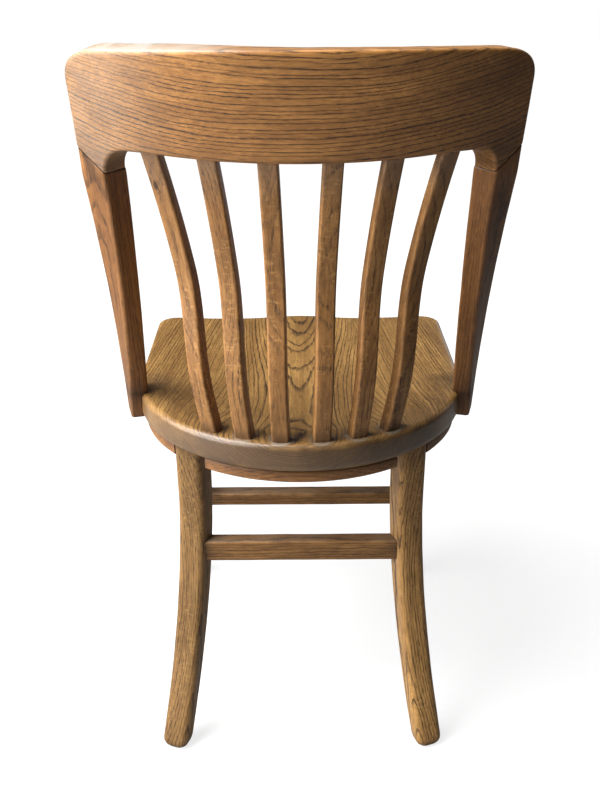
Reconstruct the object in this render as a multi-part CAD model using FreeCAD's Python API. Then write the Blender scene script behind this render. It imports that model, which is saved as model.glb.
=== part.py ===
import FreeCAD, Part
import math
import os

# Spindle back dining chair. Millimetres, Z up, the sitter faces -Y and the sitter's left is +X.
# The model is drawn about the centre of the seat's round back edge and moved at the end.

Vec = FreeCAD.Vector
UP = Vec(0, 0, 1)

# Fits
glue_line = 0.12             # clearance on every side of a tenon, dowel or plug
assembly_gap = 1.0           # between an apron end and the leg beside it

# Seat
seat_height = 443.0          # floor to the flat ledge at the back of the seat
seat_thickness = 36.0
seat_half_width = 207.0      # also the radius of the round back edge
seat_front_reach = 214.0     # centre of the round back edge to the front edge
seat_corner_radius = 30.0
seat_top_round = 6.0
seat_bottom_round = 9.0
seat_joint_offset = 83.0     # centre line to each glue joint between the boards
dish_depth = 11.0
dish_front_depth = 5.5
dish_side_rim = 17.0         # seat's side edge to the rim of the saddle hollow
dish_back_rim = 39.0         # seat's back edge to the rim of the saddle hollow
dish_front_narrowing = 14.0
pommel_half_width = 50.0
pommel_share = 0.9           # part of the front depth that the pommel fills

# Crest rail
back_height = 423.0          # seat ledge to the top of the crest
crest_height = 106.6         # at the centre
crest_crown = 5.0
crest_bottom_lift = 5.0      # lower edge rises by this much towards the arms
crest_level_run = 24.0       # level end of the lower edge, before it turns into the arch
crest_outer_radius = 365.0
crest_overhang = 27.3        # seat's back edge to the crest's back face, at its lower edge
crest_rake = 17.0
crest_thickness_low = 32.0
crest_thickness_top = 23.0
crest_corner_radius = 25.0
crest_edge_round = 4.0
arm_angle = 35.9             # direction that each arm's outer face looks in, from straight back
arm_width = 35.0
crest_end_flare = 3.0        # each end widens by this much from the joint to the top
arch_radius = 26.0
arch_run = 4.7               # level part of the arch tool beside its radius

# Joint between each crest arm and its post
joint_drop = 8.4             # crest's lower edge at the centre down to the middle of the joint
joint_slope = 41.0
dowel_diameter = 9.0
dowel_depth = 24.0           # into each half of the joint
dowel_spacing = 14.0

# Back posts
post_foot_drop = 2.0         # how far the post's foot hangs below the seat
post_foot_inset = 0.5        # seat's side to the middle of the foot
post_foot_y = 37.7
post_foot_angle = 75.0
post_foot_width = 33.0
post_foot_thickness = 22.5
post_bow = 3.0               # inward bend at half height
post_swell_power = 3.0       # how late the post thickens towards the joint
post_edge_round = 3.5
post_foot_bevel = 4.0
screw_head_diameter = 9.0
screw_head_height = 3.0
screw_shank_diameter = 4.5
screw_length = 46.0
plug_depth = 5.0
post_screw_spacing = 15.0

# Back slats
slat_count = 6
slat_rim = 16.0              # seat's back edge to the middle of a slat's foot
slat_seat_first = 6.8        # degrees from the centre line to the nearest slat, round the seat
slat_seat_pitch = 12.7       # degrees between slats round the seat
slat_crest_first = 5.2       # the same, round the crest
slat_crest_pitch = 9.83
slat_width = 20.5
slat_thickness_low = 16.0
slat_thickness_top = 13.0
slat_bow = 14.5              # forward bend of the upper part
slat_dip = 0.34              # backward bend of the lower part, as a share of the bow
slat_turn_low = 0.12         # shares of the height between which one bend passes into the other
slat_turn_high = 0.62
slat_edge_round = 3.0
slat_tenon_width = 13.0
slat_tenon_thickness = 7.5
slat_tenon_length = 20.0

# Legs
back_leg_inset = 27.35       # seat's back edge to the section's centre under the seat
back_leg_bearing = 46.35     # degrees round the seat from straight back
back_leg_width = 35.0
back_leg_depth_top = 38.0
back_leg_depth_foot = 27.0
back_leg_angle = 20.0
back_leg_flare_out = 34.0
back_leg_flare_back = 74.0
back_leg_straight = 64.0     # length under the seat before the leg bends
back_leg_bend_power = 1.8
front_leg_side_inset = 33.0  # seat's edges to the section's centre under the seat
front_leg_front_inset = 40.0
front_leg_top = 34.0
front_leg_foot = 27.0
front_leg_splay_out = 3.0
front_leg_splay_front = 13.0
leg_edge_round = 7.0
foot_round = 5.0
leg_tenon_diameter = 22.0
leg_tenon_length = 18.0

# Aprons under the seat
apron_inset = 7.0            # seat edge to the apron's outer face
apron_setback = 2.0          # front legs' front faces to the front apron's face
apron_thickness = 22.0
apron_height = 15.0
apron_side_proud = 1.0       # front legs' outer faces to the side aprons' outer faces
apron_edge_round = 3.0
apron_screw_diameter = 4.0
apron_screw_head = 8.0
apron_screw_length = 33.0

# Stretchers
rear_stretcher_top = 276.5
rear_stretcher_back = 144.0
rear_stretcher_height = 28.0
rear_stretcher_depth = 20.0
front_stretcher_middle = 150.0
front_stretcher_height = 20.5
front_stretcher_depth = 25.0
side_stretcher_middle = 205.0
side_stretcher_height = 24.0
side_stretcher_depth = 16.0
stretcher_edge_round = 3.0
stretcher_tenon_diameter = 12.0

# Sizes that follow from the ones above
seat_bottom = seat_height - seat_thickness
dish_half_width = seat_half_width - dish_side_rim
dish_back_reach = seat_half_width - dish_back_rim
crest_back_reach = seat_half_width + crest_overhang
crest_top = seat_height + back_height
crest_bottom = crest_top - crest_height
joint_height = crest_bottom - joint_drop
post_bottom = seat_bottom - post_foot_drop
post_foot_x = seat_half_width - post_foot_inset
slat_seat_radius = seat_half_width - slat_rim
back_leg_x = (seat_half_width - back_leg_inset) * math.sin(math.radians(back_leg_bearing))
back_leg_y = (seat_half_width - back_leg_inset) * math.cos(math.radians(back_leg_bearing))
back_leg_bend_height = seat_bottom - back_leg_straight
front_leg_x = seat_half_width - front_leg_side_inset
front_leg_y = front_leg_front_inset - seat_front_reach
apron_front_outside = front_leg_x + front_leg_top / 2 + apron_side_proud
apron_end_x = back_leg_x - back_leg_width / 2
apron_front_y = front_leg_y - front_leg_top / 2 + apron_setback
rake_slope = math.tan(math.radians(crest_rake))


def facing(angle):
    """Across and outward directions of a face turned from straight back towards +X."""
    a = math.radians(angle)
    across = Vec(math.cos(a), -math.sin(a), 0)
    outward = Vec(math.sin(a), math.cos(a), 0)
    return across, outward


def blend(low, high, share):
    return low + (high - low) * share


def smooth(share):
    t = min(max(share, 0.0), 1.0)
    return t * t * (3 - 2 * t)


def section(centre, angle, width, depth, radius):
    """Level rounded rectangle, as a wire."""
    across, outward = facing(angle)
    u = width / 2
    v = depth / 2
    k = radius * (1 - math.sqrt(0.5))

    def at(a, b):
        return centre + across * a + outward * b

    edges = []
    for su, sv, turned in ((1, 1, False), (-1, 1, True), (-1, -1, False), (1, -1, True)):
        corner_in = at(su * u, sv * (v - radius))
        corner_mid = at(su * (u - k), sv * (v - k))
        corner_out = at(su * (u - radius), sv * v)
        if turned:
            corner_in, corner_out = corner_out, corner_in
        edges.append(Part.Arc(corner_in, corner_mid, corner_out).toShape())
        if su * sv > 0:
            line_end = at(-su * (u - radius), sv * v)
        else:
            line_end = at(su * u, -sv * (v - radius))
        edges.append(Part.LineSegment(corner_out, line_end).toShape())
    return Part.Wire(edges)


def loft(wires, ruled=False):
    return Part.makeLoft(wires, True, ruled)


def polygon_face(points):
    return Part.Face(Part.makePolygon(list(points) + [points[0]]))


def mirrored(shape):
    return shape.mirror(Vec(0, 0, 0), Vec(1, 0, 0))


def rounded(shape, radius, wanted):
    """Rounds the edges for which wanted(edge) holds."""
    edges = [e for e in shape.Edges if wanted(e)]
    return shape.makeFillet(radius, edges)


def middle(edge):
    return edge.valueAt((edge.FirstParameter + edge.LastParameter) / 2)


def level_edge(z):
    return lambda e: all(abs(v.Z - z) < 1e-4 for v in e.Vertexes) and abs(middle(e).z - z) < 1e-4


def bar(centre, along, length, depth, height, radius):
    """Level bar with rounded long edges; its depth is level and square to its length."""
    side = along.cross(UP)
    base = centre - along * (length / 2)
    corners = []
    for a, b in ((1, 1), (-1, 1), (-1, -1), (1, -1)):
        corners.append(base + side * (a * depth / 2) + UP * (b * height / 2))
    solid = polygon_face(corners).extrude(along * length)
    return rounded(solid, radius, lambda e: abs(e.Length - length) < 1e-4)


def rod(start, along, length, diameter):
    return Part.makeCylinder(diameter / 2, length, start, along)


# Seat blank, with rounded edges and the saddle hollow


def seat_blank():
    w = seat_half_width
    f = -seat_front_reach
    r = seat_corner_radius
    k = r * (1 - math.sqrt(0.5))
    z = seat_bottom
    edges = [
        Part.Arc(Vec(w, 0, z), Vec(0, w, z), Vec(-w, 0, z)).toShape(),
        Part.LineSegment(Vec(-w, 0, z), Vec(-w, f + r, z)).toShape(),
        Part.Arc(Vec(-w, f + r, z), Vec(-w + k, f + k, z), Vec(-w + r, f, z)).toShape(),
        Part.LineSegment(Vec(-w + r, f, z), Vec(w - r, f, z)).toShape(),
        Part.Arc(Vec(w - r, f, z), Vec(w - k, f + k, z), Vec(w, f + r, z)).toShape(),
        Part.LineSegment(Vec(w, f + r, z), Vec(w, 0, z)).toShape(),
    ]
    solid = Part.Face(Part.Wire(edges)).extrude(UP * seat_thickness)
    solid = rounded(solid, seat_top_round, level_edge(seat_height))
    return rounded(solid, seat_bottom_round, level_edge(seat_bottom))


def dish_surface_depth(x, y):
    """How far the saddle lies below the ledge; negative outside the hollow."""
    forward = smooth(-y / seat_front_reach)
    half = dish_half_width - dish_front_narrowing * forward
    back = max(y, 0.0) / dish_back_reach
    reach = math.hypot(x / half, back)
    depth = blend(dish_depth, dish_front_depth, forward)
    hollow = depth * (1 - reach ** 3)
    if reach < 1:
        hollow *= 1 - pommel_share * forward * math.exp(-(x / pommel_half_width) ** 2)
    return hollow


def dish_tool():
    steps = 24
    grid = []
    for i in range(steps + 1):
        x = blend(-1.1, 1.1, i / steps) * seat_half_width
        row = []
        for j in range(steps + 1):
            y = blend(-1.12 * seat_front_reach, 0.95 * seat_half_width, j / steps)
            row.append(Vec(x, y, seat_height - dish_surface_depth(x, y)))
        grid.append(row)
    surface = Part.BSplineSurface()
    surface.interpolate(grid)
    return surface.toShape().extrude(UP * 3 * seat_thickness)


# Crest rail


def crest_centre_y(z):
    return crest_back_reach - crest_outer_radius + (z - crest_bottom) * rake_slope


def crest_thickness(z):
    share = (z - joint_height) / (crest_top - joint_height)
    return blend(crest_thickness_low, crest_thickness_top, share)


def crest_point(angle, z, depth_share=0.5):
    """Point in the crest's thickness: 0 on the back face, 1 on the front face."""
    a = math.radians(angle)
    r = crest_outer_radius - crest_thickness(z) * depth_share
    return Vec(r * math.sin(a), crest_centre_y(z) + r * math.cos(a), z)


def crest_sector(z):
    spread = arm_angle + 9.0
    back = [crest_point(a, z, 0) for a in (-spread, 0, spread)]
    front = [crest_point(a, z, 1) for a in (spread, 0, -spread)]
    return Part.Wire([
        Part.Arc(*back).toShape(),
        Part.LineSegment(back[2], front[0]).toShape(),
        Part.Arc(*front).toShape(),
        Part.LineSegment(front[2], back[0]).toShape(),
    ])


def arm_block(z_low, z_high, u_edge, flare, x_other):
    """Block from one side of the left arm to a plane of constant x, following the arm's lean.

    The side lies at u_edge, measured across the arm, and moves out by flare towards the top.
    """
    across, outward = facing(arm_angle)
    wires = []
    for z in (z_low, z_high):
        rise = (z - joint_height) / (crest_top - joint_height)
        c = crest_point(arm_angle, z) + across * (flare * rise)
        deep = 2 * crest_thickness_low
        corners = []
        for v in (-deep, deep):
            corners.append(c + across * u_edge + outward * v)
        for v in (deep, -deep):
            p = c + outward * v
            corners.append(p + across * ((x_other - p.x) / across.x))
        wires.append(Part.makePolygon(corners + [corners[0]]))
    return loft(wires, True)


def joint_side(upward):
    """Thick slab above or below the slanted joint of the left arm and post."""
    across, outward = facing(arm_angle)
    s = math.radians(joint_slope)
    along = across * math.cos(s) + UP * math.sin(s)
    normal = UP * math.cos(s) - across * math.sin(s)
    c = crest_point(arm_angle, joint_height)
    half = 1.7 * arm_width
    deep = 3 * crest_thickness_low
    corners = []
    for u, v in ((-half, -deep), (half, -deep), (half, deep), (-half, deep)):
        corners.append(c + along * u + outward * v)
    tall = 3.5 * arm_width
    return polygon_face(corners).extrude(normal * (tall if upward else -tall))


def crest_blank():
    low = joint_height - 1.3 * arm_width
    high = crest_top + 4 * crest_crown
    solid = loft([crest_sector(low), crest_sector(high)], True)

    wide = 2 * seat_half_width
    span = 1.25 * crest_outer_radius * math.sin(math.radians(arm_angle))
    ends = crest_top - 1.25 ** 2 * crest_crown
    ring = [
        Part.Arc(Vec(-span, -wide, ends), Vec(0, -wide, crest_top), Vec(span, -wide, ends)).toShape(),
        Part.LineSegment(Vec(span, -wide, ends), Vec(span, -wide, low - 1)).toShape(),
        Part.LineSegment(Vec(span, -wide, low - 1), Vec(-span, -wide, low - 1)).toShape(),
        Part.LineSegment(Vec(-span, -wide, low - 1), Vec(-span, -wide, ends)).toShape(),
    ]
    solid = solid.common(Part.Face(Part.Wire(ring)).extrude(Vec(0, 3 * wide, 0)))

    end_tool = arm_block(low - 5, high + 5, arm_width / 2, crest_end_flare, wide)
    solid = solid.cut([end_tool, mirrored(end_tool)])

    arch_top = crest_bottom + crest_bottom_lift
    across = facing(arm_angle)[0]
    arm_inside = crest_point(arm_angle, arch_top) - across * (arm_width / 2)
    flat = arm_inside.x - arch_radius - arch_run
    half = flat - crest_level_run
    bow_ends = [Vec(-half, -wide, arch_top), Vec(half, -wide, arch_top)]
    flat_ends = [Vec(-flat, -wide, arch_top), Vec(flat, -wide, arch_top)]
    feet = [Vec(-flat, -wide, low - 5), Vec(flat, -wide, low - 5)]
    under = [
        Part.Arc(bow_ends[0], Vec(0, -wide, crest_bottom), bow_ends[1]).toShape(),
        Part.LineSegment(bow_ends[1], flat_ends[1]).toShape(),
        Part.LineSegment(flat_ends[1], feet[1]).toShape(),
        Part.LineSegment(feet[1], feet[0]).toShape(),
        Part.LineSegment(feet[0], flat_ends[0]).toShape(),
        Part.LineSegment(flat_ends[0], bow_ends[0]).toShape(),
    ]
    middle_tool = Part.Face(Part.Wire(under)).extrude(Vec(0, 3 * wide, 0))

    arch_tool = arm_block(low - 5, arch_top, -arm_width / 2, 0.0, blend(half, flat, 0.5))
    edge_u = arm_inside.dot(across)

    def arch_edge(e):
        m = middle(e)
        return abs(m.z - arch_top) < 1e-4 and abs(m.dot(across) - edge_u) < 1e-3

    arch_tool = rounded(arch_tool, arch_radius, arch_edge)
    opening = middle_tool.fuse([arch_tool, mirrored(arch_tool)]).removeSplitter()
    solid = solid.cut(opening)

    below = joint_side(False)
    return solid.cut([below, mirrored(below)])


def crest_rounded(solid):
    """Large rounding of the two upper corners, then a small one along the back and front faces."""
    top_zone = crest_top - 3 * crest_crown
    far_x = 0.5 * crest_outer_radius

    def corner(e):
        m = middle(e)
        return m.z > top_zone and abs(m.x) > far_x and e.Length < 2 * crest_thickness_low

    solid = rounded(solid, crest_corner_radius, corner)

    s = math.radians(joint_slope)
    across = facing(arm_angle)[0]
    normal = UP * math.cos(s) - across * math.sin(s)
    level = crest_point(arm_angle, joint_height).dot(normal)

    def on_joint(e):
        m = middle(e)
        return abs(Vec(abs(m.x), m.y, m.z).dot(normal) - level) < 1e-3

    edges = []
    for face in sorted(solid.Faces, key=lambda f: f.Area)[-2:]:
        edges += [e for e in face.Edges if not on_joint(e)]
    return solid.makeFillet(crest_edge_round, edges)


# Back posts


def post_frame(z):
    """Centre, facing angle, width and thickness of the left post at a height."""
    joint_z = joint_height - arm_width / 2
    share = (z - post_bottom) / (joint_z - post_bottom)
    if share >= 1:
        return crest_point(arm_angle, z), arm_angle, arm_width, crest_thickness(z)
    foot = Vec(post_foot_x, post_foot_y, post_bottom)
    head = crest_point(arm_angle, joint_z)
    centre = blend(foot, head, share) - Vec(4 * post_bow * share * (1 - share), 0, 0)
    angle = blend(post_foot_angle, arm_angle, share)
    width = blend(post_foot_width, arm_width, share)
    swell = max(share, 0.0) ** post_swell_power
    return centre, angle, width, blend(post_foot_thickness, crest_thickness(joint_z), swell)


def post_section(z, less=0.0):
    centre, angle, width, thick = post_frame(z)
    return section(centre, angle, width - less, thick - less, post_edge_round - less / 4)


def post_blank():
    joint_z = joint_height - arm_width / 2
    bevel_top = post_bottom + post_foot_bevel
    heights = [blend(bevel_top, joint_z, k / 5) for k in range(6)]
    heights += [joint_height + arm_width / 2, joint_height + arm_width]
    solid = loft([post_section(z) for z in heights])
    foot = loft([post_section(post_bottom, post_foot_bevel), post_section(bevel_top)], True)
    return solid.fuse(foot).cut(joint_side(True))


def post_screw_frames():
    """Start point on the outer face and inward direction of the screws in the left post."""
    z = seat_height - seat_thickness / 2
    centre, angle, width, thick = post_frame(z)
    across, outward = facing(angle)
    face = centre + outward * (thick / 2)
    return [(face + across * (k * post_screw_spacing / 2), outward * -1) for k in (1, -1)]


# Back slats


def slat_turn(index, first, pitch):
    """Angle of a slat from the centre line, the left ones positive."""
    places = (slat_count - 1) / 2 - index
    if places == 0:
        return 0.0
    return math.copysign(first + (abs(places) - 0.5) * pitch, places)


def slat_frame(index, z):
    """Centre, facing angle and thickness of a slat at a height."""
    low = slat_turn(index, slat_seat_first, slat_seat_pitch)
    high = slat_turn(index, slat_crest_first, slat_crest_pitch)
    a = math.radians(low)
    foot = Vec(slat_seat_radius * math.sin(a), slat_seat_radius * math.cos(a), seat_height)
    head = crest_point(high, crest_bottom)
    share = (z - foot.z) / (head.z - foot.z)
    angle = blend(low, high, min(share, 1.0))
    outward = facing(angle)[1]
    turn = smooth((share - slat_turn_low) / (slat_turn_high - slat_turn_low))
    bow = slat_bow * blend(-slat_dip, 1.0, turn)
    centre = blend(foot, head, share) - outward * (4 * bow * share * (1 - share))
    centre.z = z
    thick = blend(slat_thickness_low, slat_thickness_top, smooth(share))
    return centre, angle, thick


def slat_blank(index):
    heights = [blend(seat_height, crest_bottom, k / 8) for k in range(9)]
    heights.append(crest_bottom + crest_bottom_lift + slat_thickness_top)
    wires = []
    for z in heights:
        centre, angle, thick = slat_frame(index, z)
        wires.append(section(centre, angle, slat_width, thick, slat_edge_round))
    return loft(wires)


def slat_tenon(index, upper, extra):
    """Tenon at one end of a slat; extra is added on every side to make its mortise."""
    z = crest_bottom if upper else seat_height
    centre, angle, thick = slat_frame(index, z)
    across, outward = facing(angle)
    if upper:
        lean = slat_frame(index, z + 1)[0] - slat_frame(index, z)[0]
        length = slat_tenon_length + crest_bottom_lift + extra
    else:
        lean = UP * -1
        length = slat_tenon_length + extra
    root = 2 * slat_edge_round
    u = slat_tenon_width / 2 + extra
    v = slat_tenon_thickness / 2 + extra
    base = centre - lean * root
    corners = []
    for a, b in ((1, 1), (-1, 1), (-1, -1), (1, -1)):
        corners.append(base + across * (a * u) + outward * (b * v))
    return polygon_face(corners).extrude(lean * (length + root))


# Legs


def back_leg_centre(z):
    share = max(back_leg_bend_height - z, 0.0) / back_leg_bend_height
    bend = share ** back_leg_bend_power
    return Vec(back_leg_x + back_leg_flare_out * bend, back_leg_y + back_leg_flare_back * bend, z)


def back_leg_section(z, grow=0.0):
    depth = blend(back_leg_depth_foot, back_leg_depth_top, z / seat_bottom)
    width = back_leg_width + grow
    return section(back_leg_centre(z), back_leg_angle, width, depth + grow, leg_edge_round)


def back_leg_blank():
    heights = [seat_bottom * k / 8 for k in range(9)]
    solid = loft([back_leg_section(z) for z in heights])
    return rounded(solid, foot_round, level_edge(0.0))


def front_leg_centre(z):
    share = 1 - z / seat_bottom
    return Vec(front_leg_x + front_leg_splay_out * share, front_leg_y - front_leg_splay_front * share, z)


def front_leg_section(z, grow=0.0):
    side = blend(front_leg_foot, front_leg_top, z / seat_bottom) + grow
    return section(front_leg_centre(z), 0, side, side, leg_edge_round)


def front_leg_blank():
    solid = loft([front_leg_section(0), front_leg_section(seat_bottom)], True)
    return rounded(solid, foot_round, level_edge(0.0))


def stretcher(start, end, depth, height, hollows):
    """Bar between two points, trimmed by the legs, with a round tenon at each end.

    Returns the piece and the tenon sockets. Start and end are the tenon ends.
    """
    along = (end - start).normalize()
    length = (end - start).Length
    centre = blend(start, end, 0.5)
    body = bar(centre, along, length, depth, height, stretcher_edge_round).cut(hollows)
    body = max(body.Solids, key=lambda s: s.Volume)
    inner_start = start + along * length * 0.3
    inner_end = end - along * length * 0.3
    pins = [
        rod(start, along, (inner_start - start).Length, stretcher_tenon_diameter),
        rod(end, along * -1, (inner_end - end).Length, stretcher_tenon_diameter),
    ]
    wide = stretcher_tenon_diameter + 2 * glue_line
    sockets = [
        rod(start - along * glue_line, along, (inner_start - start).Length, wide),
        rod(end + along * glue_line, along * -1, (inner_end - end).Length, wide),
    ]
    return body.fuse(pins).removeSplitter(), sockets


# Aprons


def apron_ring(depth):
    """Plan line of the aprons, a depth inside their outer faces."""
    r = seat_half_width - apron_inset - depth
    front_x = apron_front_outside - depth
    f = apron_front_y + depth
    z = seat_bottom - apron_height
    return Part.Wire([
        Part.Arc(Vec(r, 0, z), Vec(0, r, z), Vec(-r, 0, z)).toShape(),
        Part.LineSegment(Vec(-r, 0, z), Vec(-front_x, f, z)).toShape(),
        Part.LineSegment(Vec(-front_x, f, z), Vec(front_x, f, z)).toShape(),
        Part.LineSegment(Vec(front_x, f, z), Vec(r, 0, z)).toShape(),
    ])


def apron_frame():
    outer = Part.Face(apron_ring(0.0)).extrude(UP * apron_height)
    inner = Part.Face(apron_ring(apron_thickness)).extrude(UP * apron_height)
    return rounded(outer, apron_edge_round, level_edge(seat_bottom - apron_height)).cut(inner)


def apron_screw(x, y, extra):
    z = seat_bottom - apron_height
    r = apron_screw_diameter / 2 + extra
    head = apron_screw_head / 2 + extra
    shank = Part.makeCylinder(r, apron_screw_length + extra, Vec(x, y, z))
    cone = Part.makeCone(head, r, head - r, Vec(x, y, z))
    return shank.fuse(cone)


# Blanks

post_raw = post_blank()
crest_raw = crest_rounded(crest_blank())
back_leg_raw = back_leg_blank()
front_leg_raw = front_leg_blank()
legs_raw = [back_leg_raw, mirrored(back_leg_raw), front_leg_raw, mirrored(front_leg_raw)]

pieces = {}

# Crest, posts and their dowels
dowels = []
dowel_holes = []
arm_across, arm_outward = facing(arm_angle)
lean = (crest_point(arm_angle, joint_height + 1) - crest_point(arm_angle, joint_height)).normalize()
for offset in (-dowel_spacing / 2, dowel_spacing / 2):
    height = joint_height + offset * math.tan(math.radians(joint_slope))
    centre = crest_point(arm_angle, height) + arm_across * offset
    start = centre - lean * dowel_depth
    dowels.append(rod(start, lean, 2 * dowel_depth, dowel_diameter))
    hole_length = 2 * (dowel_depth + glue_line)
    dowel_holes.append(rod(start - lean * glue_line, lean, hole_length, dowel_diameter + 2 * glue_line))
dowels += [mirrored(d) for d in dowels]

slat_mortises = [slat_tenon(i, True, glue_line) for i in range(slat_count)]
crest_tools = dowel_holes + [mirrored(h) for h in dowel_holes] + slat_mortises
pieces["crest_rail"] = crest_raw.cut(crest_tools)
pieces["crest_dowels"] = Part.makeCompound(dowels)

# Screws through the posts, and the plugs over their heads
screws = []
screw_holes = []
plugs = []
for face, inward in post_screw_frames():
    seat_in = face + inward * plug_depth
    head = rod(seat_in, inward, screw_head_height, screw_head_diameter)
    shank = rod(seat_in, inward, screw_length, screw_shank_diameter)
    screws.append(head.fuse(shank))
    wide_head = screw_head_diameter + 2 * glue_line
    wide_shank = screw_shank_diameter + 2 * glue_line
    bore = rod(face - inward * 10, inward, plug_depth + screw_head_height + 10, wide_head)
    screw_holes.append(bore.fuse(rod(face, inward, plug_depth + screw_length + glue_line, wide_shank)))
    plug = rod(face - inward * 10, inward, plug_depth + 10, screw_head_diameter)
    plugs.append(plug.common(post_raw))

post = post_raw.cut(dowel_holes + screw_holes)
pieces["left_back_post"] = post
pieces["right_back_post"] = mirrored(post)
pieces["post_screws"] = Part.makeCompound(screws + [mirrored(s) for s in screws])
pieces["post_plugs"] = Part.makeCompound(plugs + [mirrored(p) for p in plugs])

# Slats
for i in range(slat_count):
    body = slat_blank(i).cut(crest_raw)
    body = max(body.Solids, key=lambda s: s.Volume)
    tenons = [slat_tenon(i, True, 0.0), slat_tenon(i, False, 0.0)]
    pieces["back_slat_%d" % (i + 1)] = body.fuse(tenons).removeSplitter()

# Legs and stretchers
stretcher_sockets = []
rear_z = rear_stretcher_top - rear_stretcher_height / 2
rear_y = rear_stretcher_back - rear_stretcher_depth / 2
rear_x = back_leg_centre(rear_z).x
body, sockets = stretcher(Vec(rear_x, rear_y, rear_z), Vec(-rear_x, rear_y, rear_z),
                          rear_stretcher_depth, rear_stretcher_height, legs_raw)
pieces["rear_stretcher"] = body
stretcher_sockets += sockets

front_at = front_leg_centre(front_stretcher_middle)
body, sockets = stretcher(front_at, Vec(-front_at.x, front_at.y, front_at.z),
                          front_stretcher_depth, front_stretcher_height, legs_raw)
pieces["front_stretcher"] = body
stretcher_sockets += sockets

side_front = front_leg_centre(side_stretcher_middle)
side_back = back_leg_centre(side_stretcher_middle)
body, sockets = stretcher(side_front, side_back, side_stretcher_depth, side_stretcher_height, legs_raw)
pieces["left_side_stretcher"] = body
pieces["right_side_stretcher"] = mirrored(body)
stretcher_sockets += sockets + [mirrored(s) for s in sockets]


def leg_tenon(x, y, extra):
    length = leg_tenon_length + extra
    return Part.makeCylinder(leg_tenon_diameter / 2 + extra, length + 4, Vec(x, y, seat_bottom - 4))


back_leg = back_leg_raw.fuse(leg_tenon(back_leg_x, back_leg_y, 0.0))
front_leg = front_leg_raw.fuse(leg_tenon(front_leg_x, front_leg_y, 0.0))
pieces["left_back_leg"] = back_leg.cut(stretcher_sockets)
pieces["right_back_leg"] = mirrored(back_leg).cut(stretcher_sockets)
pieces["left_front_leg"] = front_leg.cut(stretcher_sockets)
pieces["right_front_leg"] = mirrored(front_leg).cut(stretcher_sockets)

# Aprons
leg_top = (seat_bottom - 3 * apron_height, seat_bottom + 5)
wide_back_leg = loft([back_leg_section(z, 2 * assembly_gap) for z in leg_top], True)
wide_front_leg = loft([front_leg_section(z, 2 * assembly_gap) for z in leg_top], True)
wide_legs = [wide_back_leg, mirrored(wide_back_leg), wide_front_leg, mirrored(wide_front_leg)]
frame = apron_frame()
ring_mid = seat_half_width - apron_inset - apron_thickness / 2
end_angle = math.asin(apron_end_x / (seat_half_width - apron_inset))
far = 2 * seat_half_width
band_bottom = seat_bottom - 2 * apron_height
wedge = polygon_face([
    Vec(0, 0, band_bottom),
    Vec(far * math.sin(end_angle), far * math.cos(end_angle), band_bottom),
    Vec(-far * math.sin(end_angle), far * math.cos(end_angle), band_bottom),
]).extrude(UP * 4 * apron_height)
pieces["rear_apron"] = frame.common(wedge)

front_band = Part.makeBox(2 * front_leg_x, front_leg_top, 4 * apron_height,
                          Vec(-front_leg_x, front_leg_y - front_leg_top / 2, band_bottom))
front_apron = frame.common(front_band).cut(wide_legs)
pieces["front_apron"] = max(front_apron.Solids, key=lambda s: s.Volume)

side_band = Part.makeBox(far, far, 4 * apron_height, Vec(back_leg_x, front_leg_y, band_bottom))
side_apron = frame.common(side_band).cut(wide_legs)
side_apron = max(side_apron.Solids, key=lambda s: s.Volume)
pieces["left_side_apron"] = side_apron
pieces["right_side_apron"] = mirrored(side_apron)

screw_places = []
between_slats = math.radians(slat_seat_first + slat_seat_pitch / 2)
for a in (-between_slats, 0.0, between_slats):
    screw_places.append((ring_mid * math.sin(a), ring_mid * math.cos(a)))
front_mid_y = apron_front_y + apron_thickness / 2
for share in (-0.55, 0.0, 0.55):
    screw_places.append((share * front_leg_x, front_mid_y))
front_mid_x = apron_front_outside - apron_thickness / 2
for share in (0.12, 0.42, 0.72):
    x = blend(ring_mid, front_mid_x, share)
    y = share * front_leg_y
    screw_places.append((x, y))
    screw_places.append((-x, y))
apron_screws = [apron_screw(x, y, 0.0) for x, y in screw_places]
apron_holes = [apron_screw(x, y, glue_line) for x, y in screw_places]
pieces["apron_screws"] = Part.makeCompound(apron_screws)
for name in ("rear_apron", "front_apron", "left_side_apron", "right_side_apron"):
    pieces[name] = pieces[name].cut(apron_holes)

# Seat boards
seat = seat_blank().cut(dish_tool())
seat = max(seat.Solids, key=lambda s: s.Volume)
seat_tools = [post_raw, mirrored(post_raw)]
seat_tools += screw_holes + [mirrored(h) for h in screw_holes]
seat_tools += [slat_tenon(i, False, glue_line) for i in range(slat_count)]
for x, y in ((back_leg_x, back_leg_y), (front_leg_x, front_leg_y)):
    socket = leg_tenon(x, y, glue_line)
    seat_tools += [socket, mirrored(socket)]
seat = seat.cut(seat_tools + apron_holes)
deep = 2 * seat_half_width
for name, x_low, x_high in (
    ("left_seat_board", seat_joint_offset, deep),
    ("centre_seat_board", -seat_joint_offset, seat_joint_offset),
    ("right_seat_board", -deep, -seat_joint_offset),
):
    slab = Part.makeBox(x_high - x_low, 2 * deep, 2 * deep, Vec(x_low, -deep, 0))
    pieces[name] = seat.common(slab)

# Origin under the middle of the whole chair, on the floor
whole = Part.makeCompound(list(pieces.values())).optimalBoundingBox(False)
shift = Vec(-(whole.XMin + whole.XMax) / 2, -(whole.YMin + whole.YMax) / 2, -whole.ZMin)
os.makedirs("parts", exist_ok=True)
for name, shape in pieces.items():
    shape.translate(shift)
    shape.exportStep("parts/" + name + ".step")
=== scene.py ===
import math

import bmesh
import bpy
import numpy as np
from mathutils import Matrix, Vector
from mathutils import noise as field_noise
from mathutils.geometry import delaunay_2d_cdt


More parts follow.
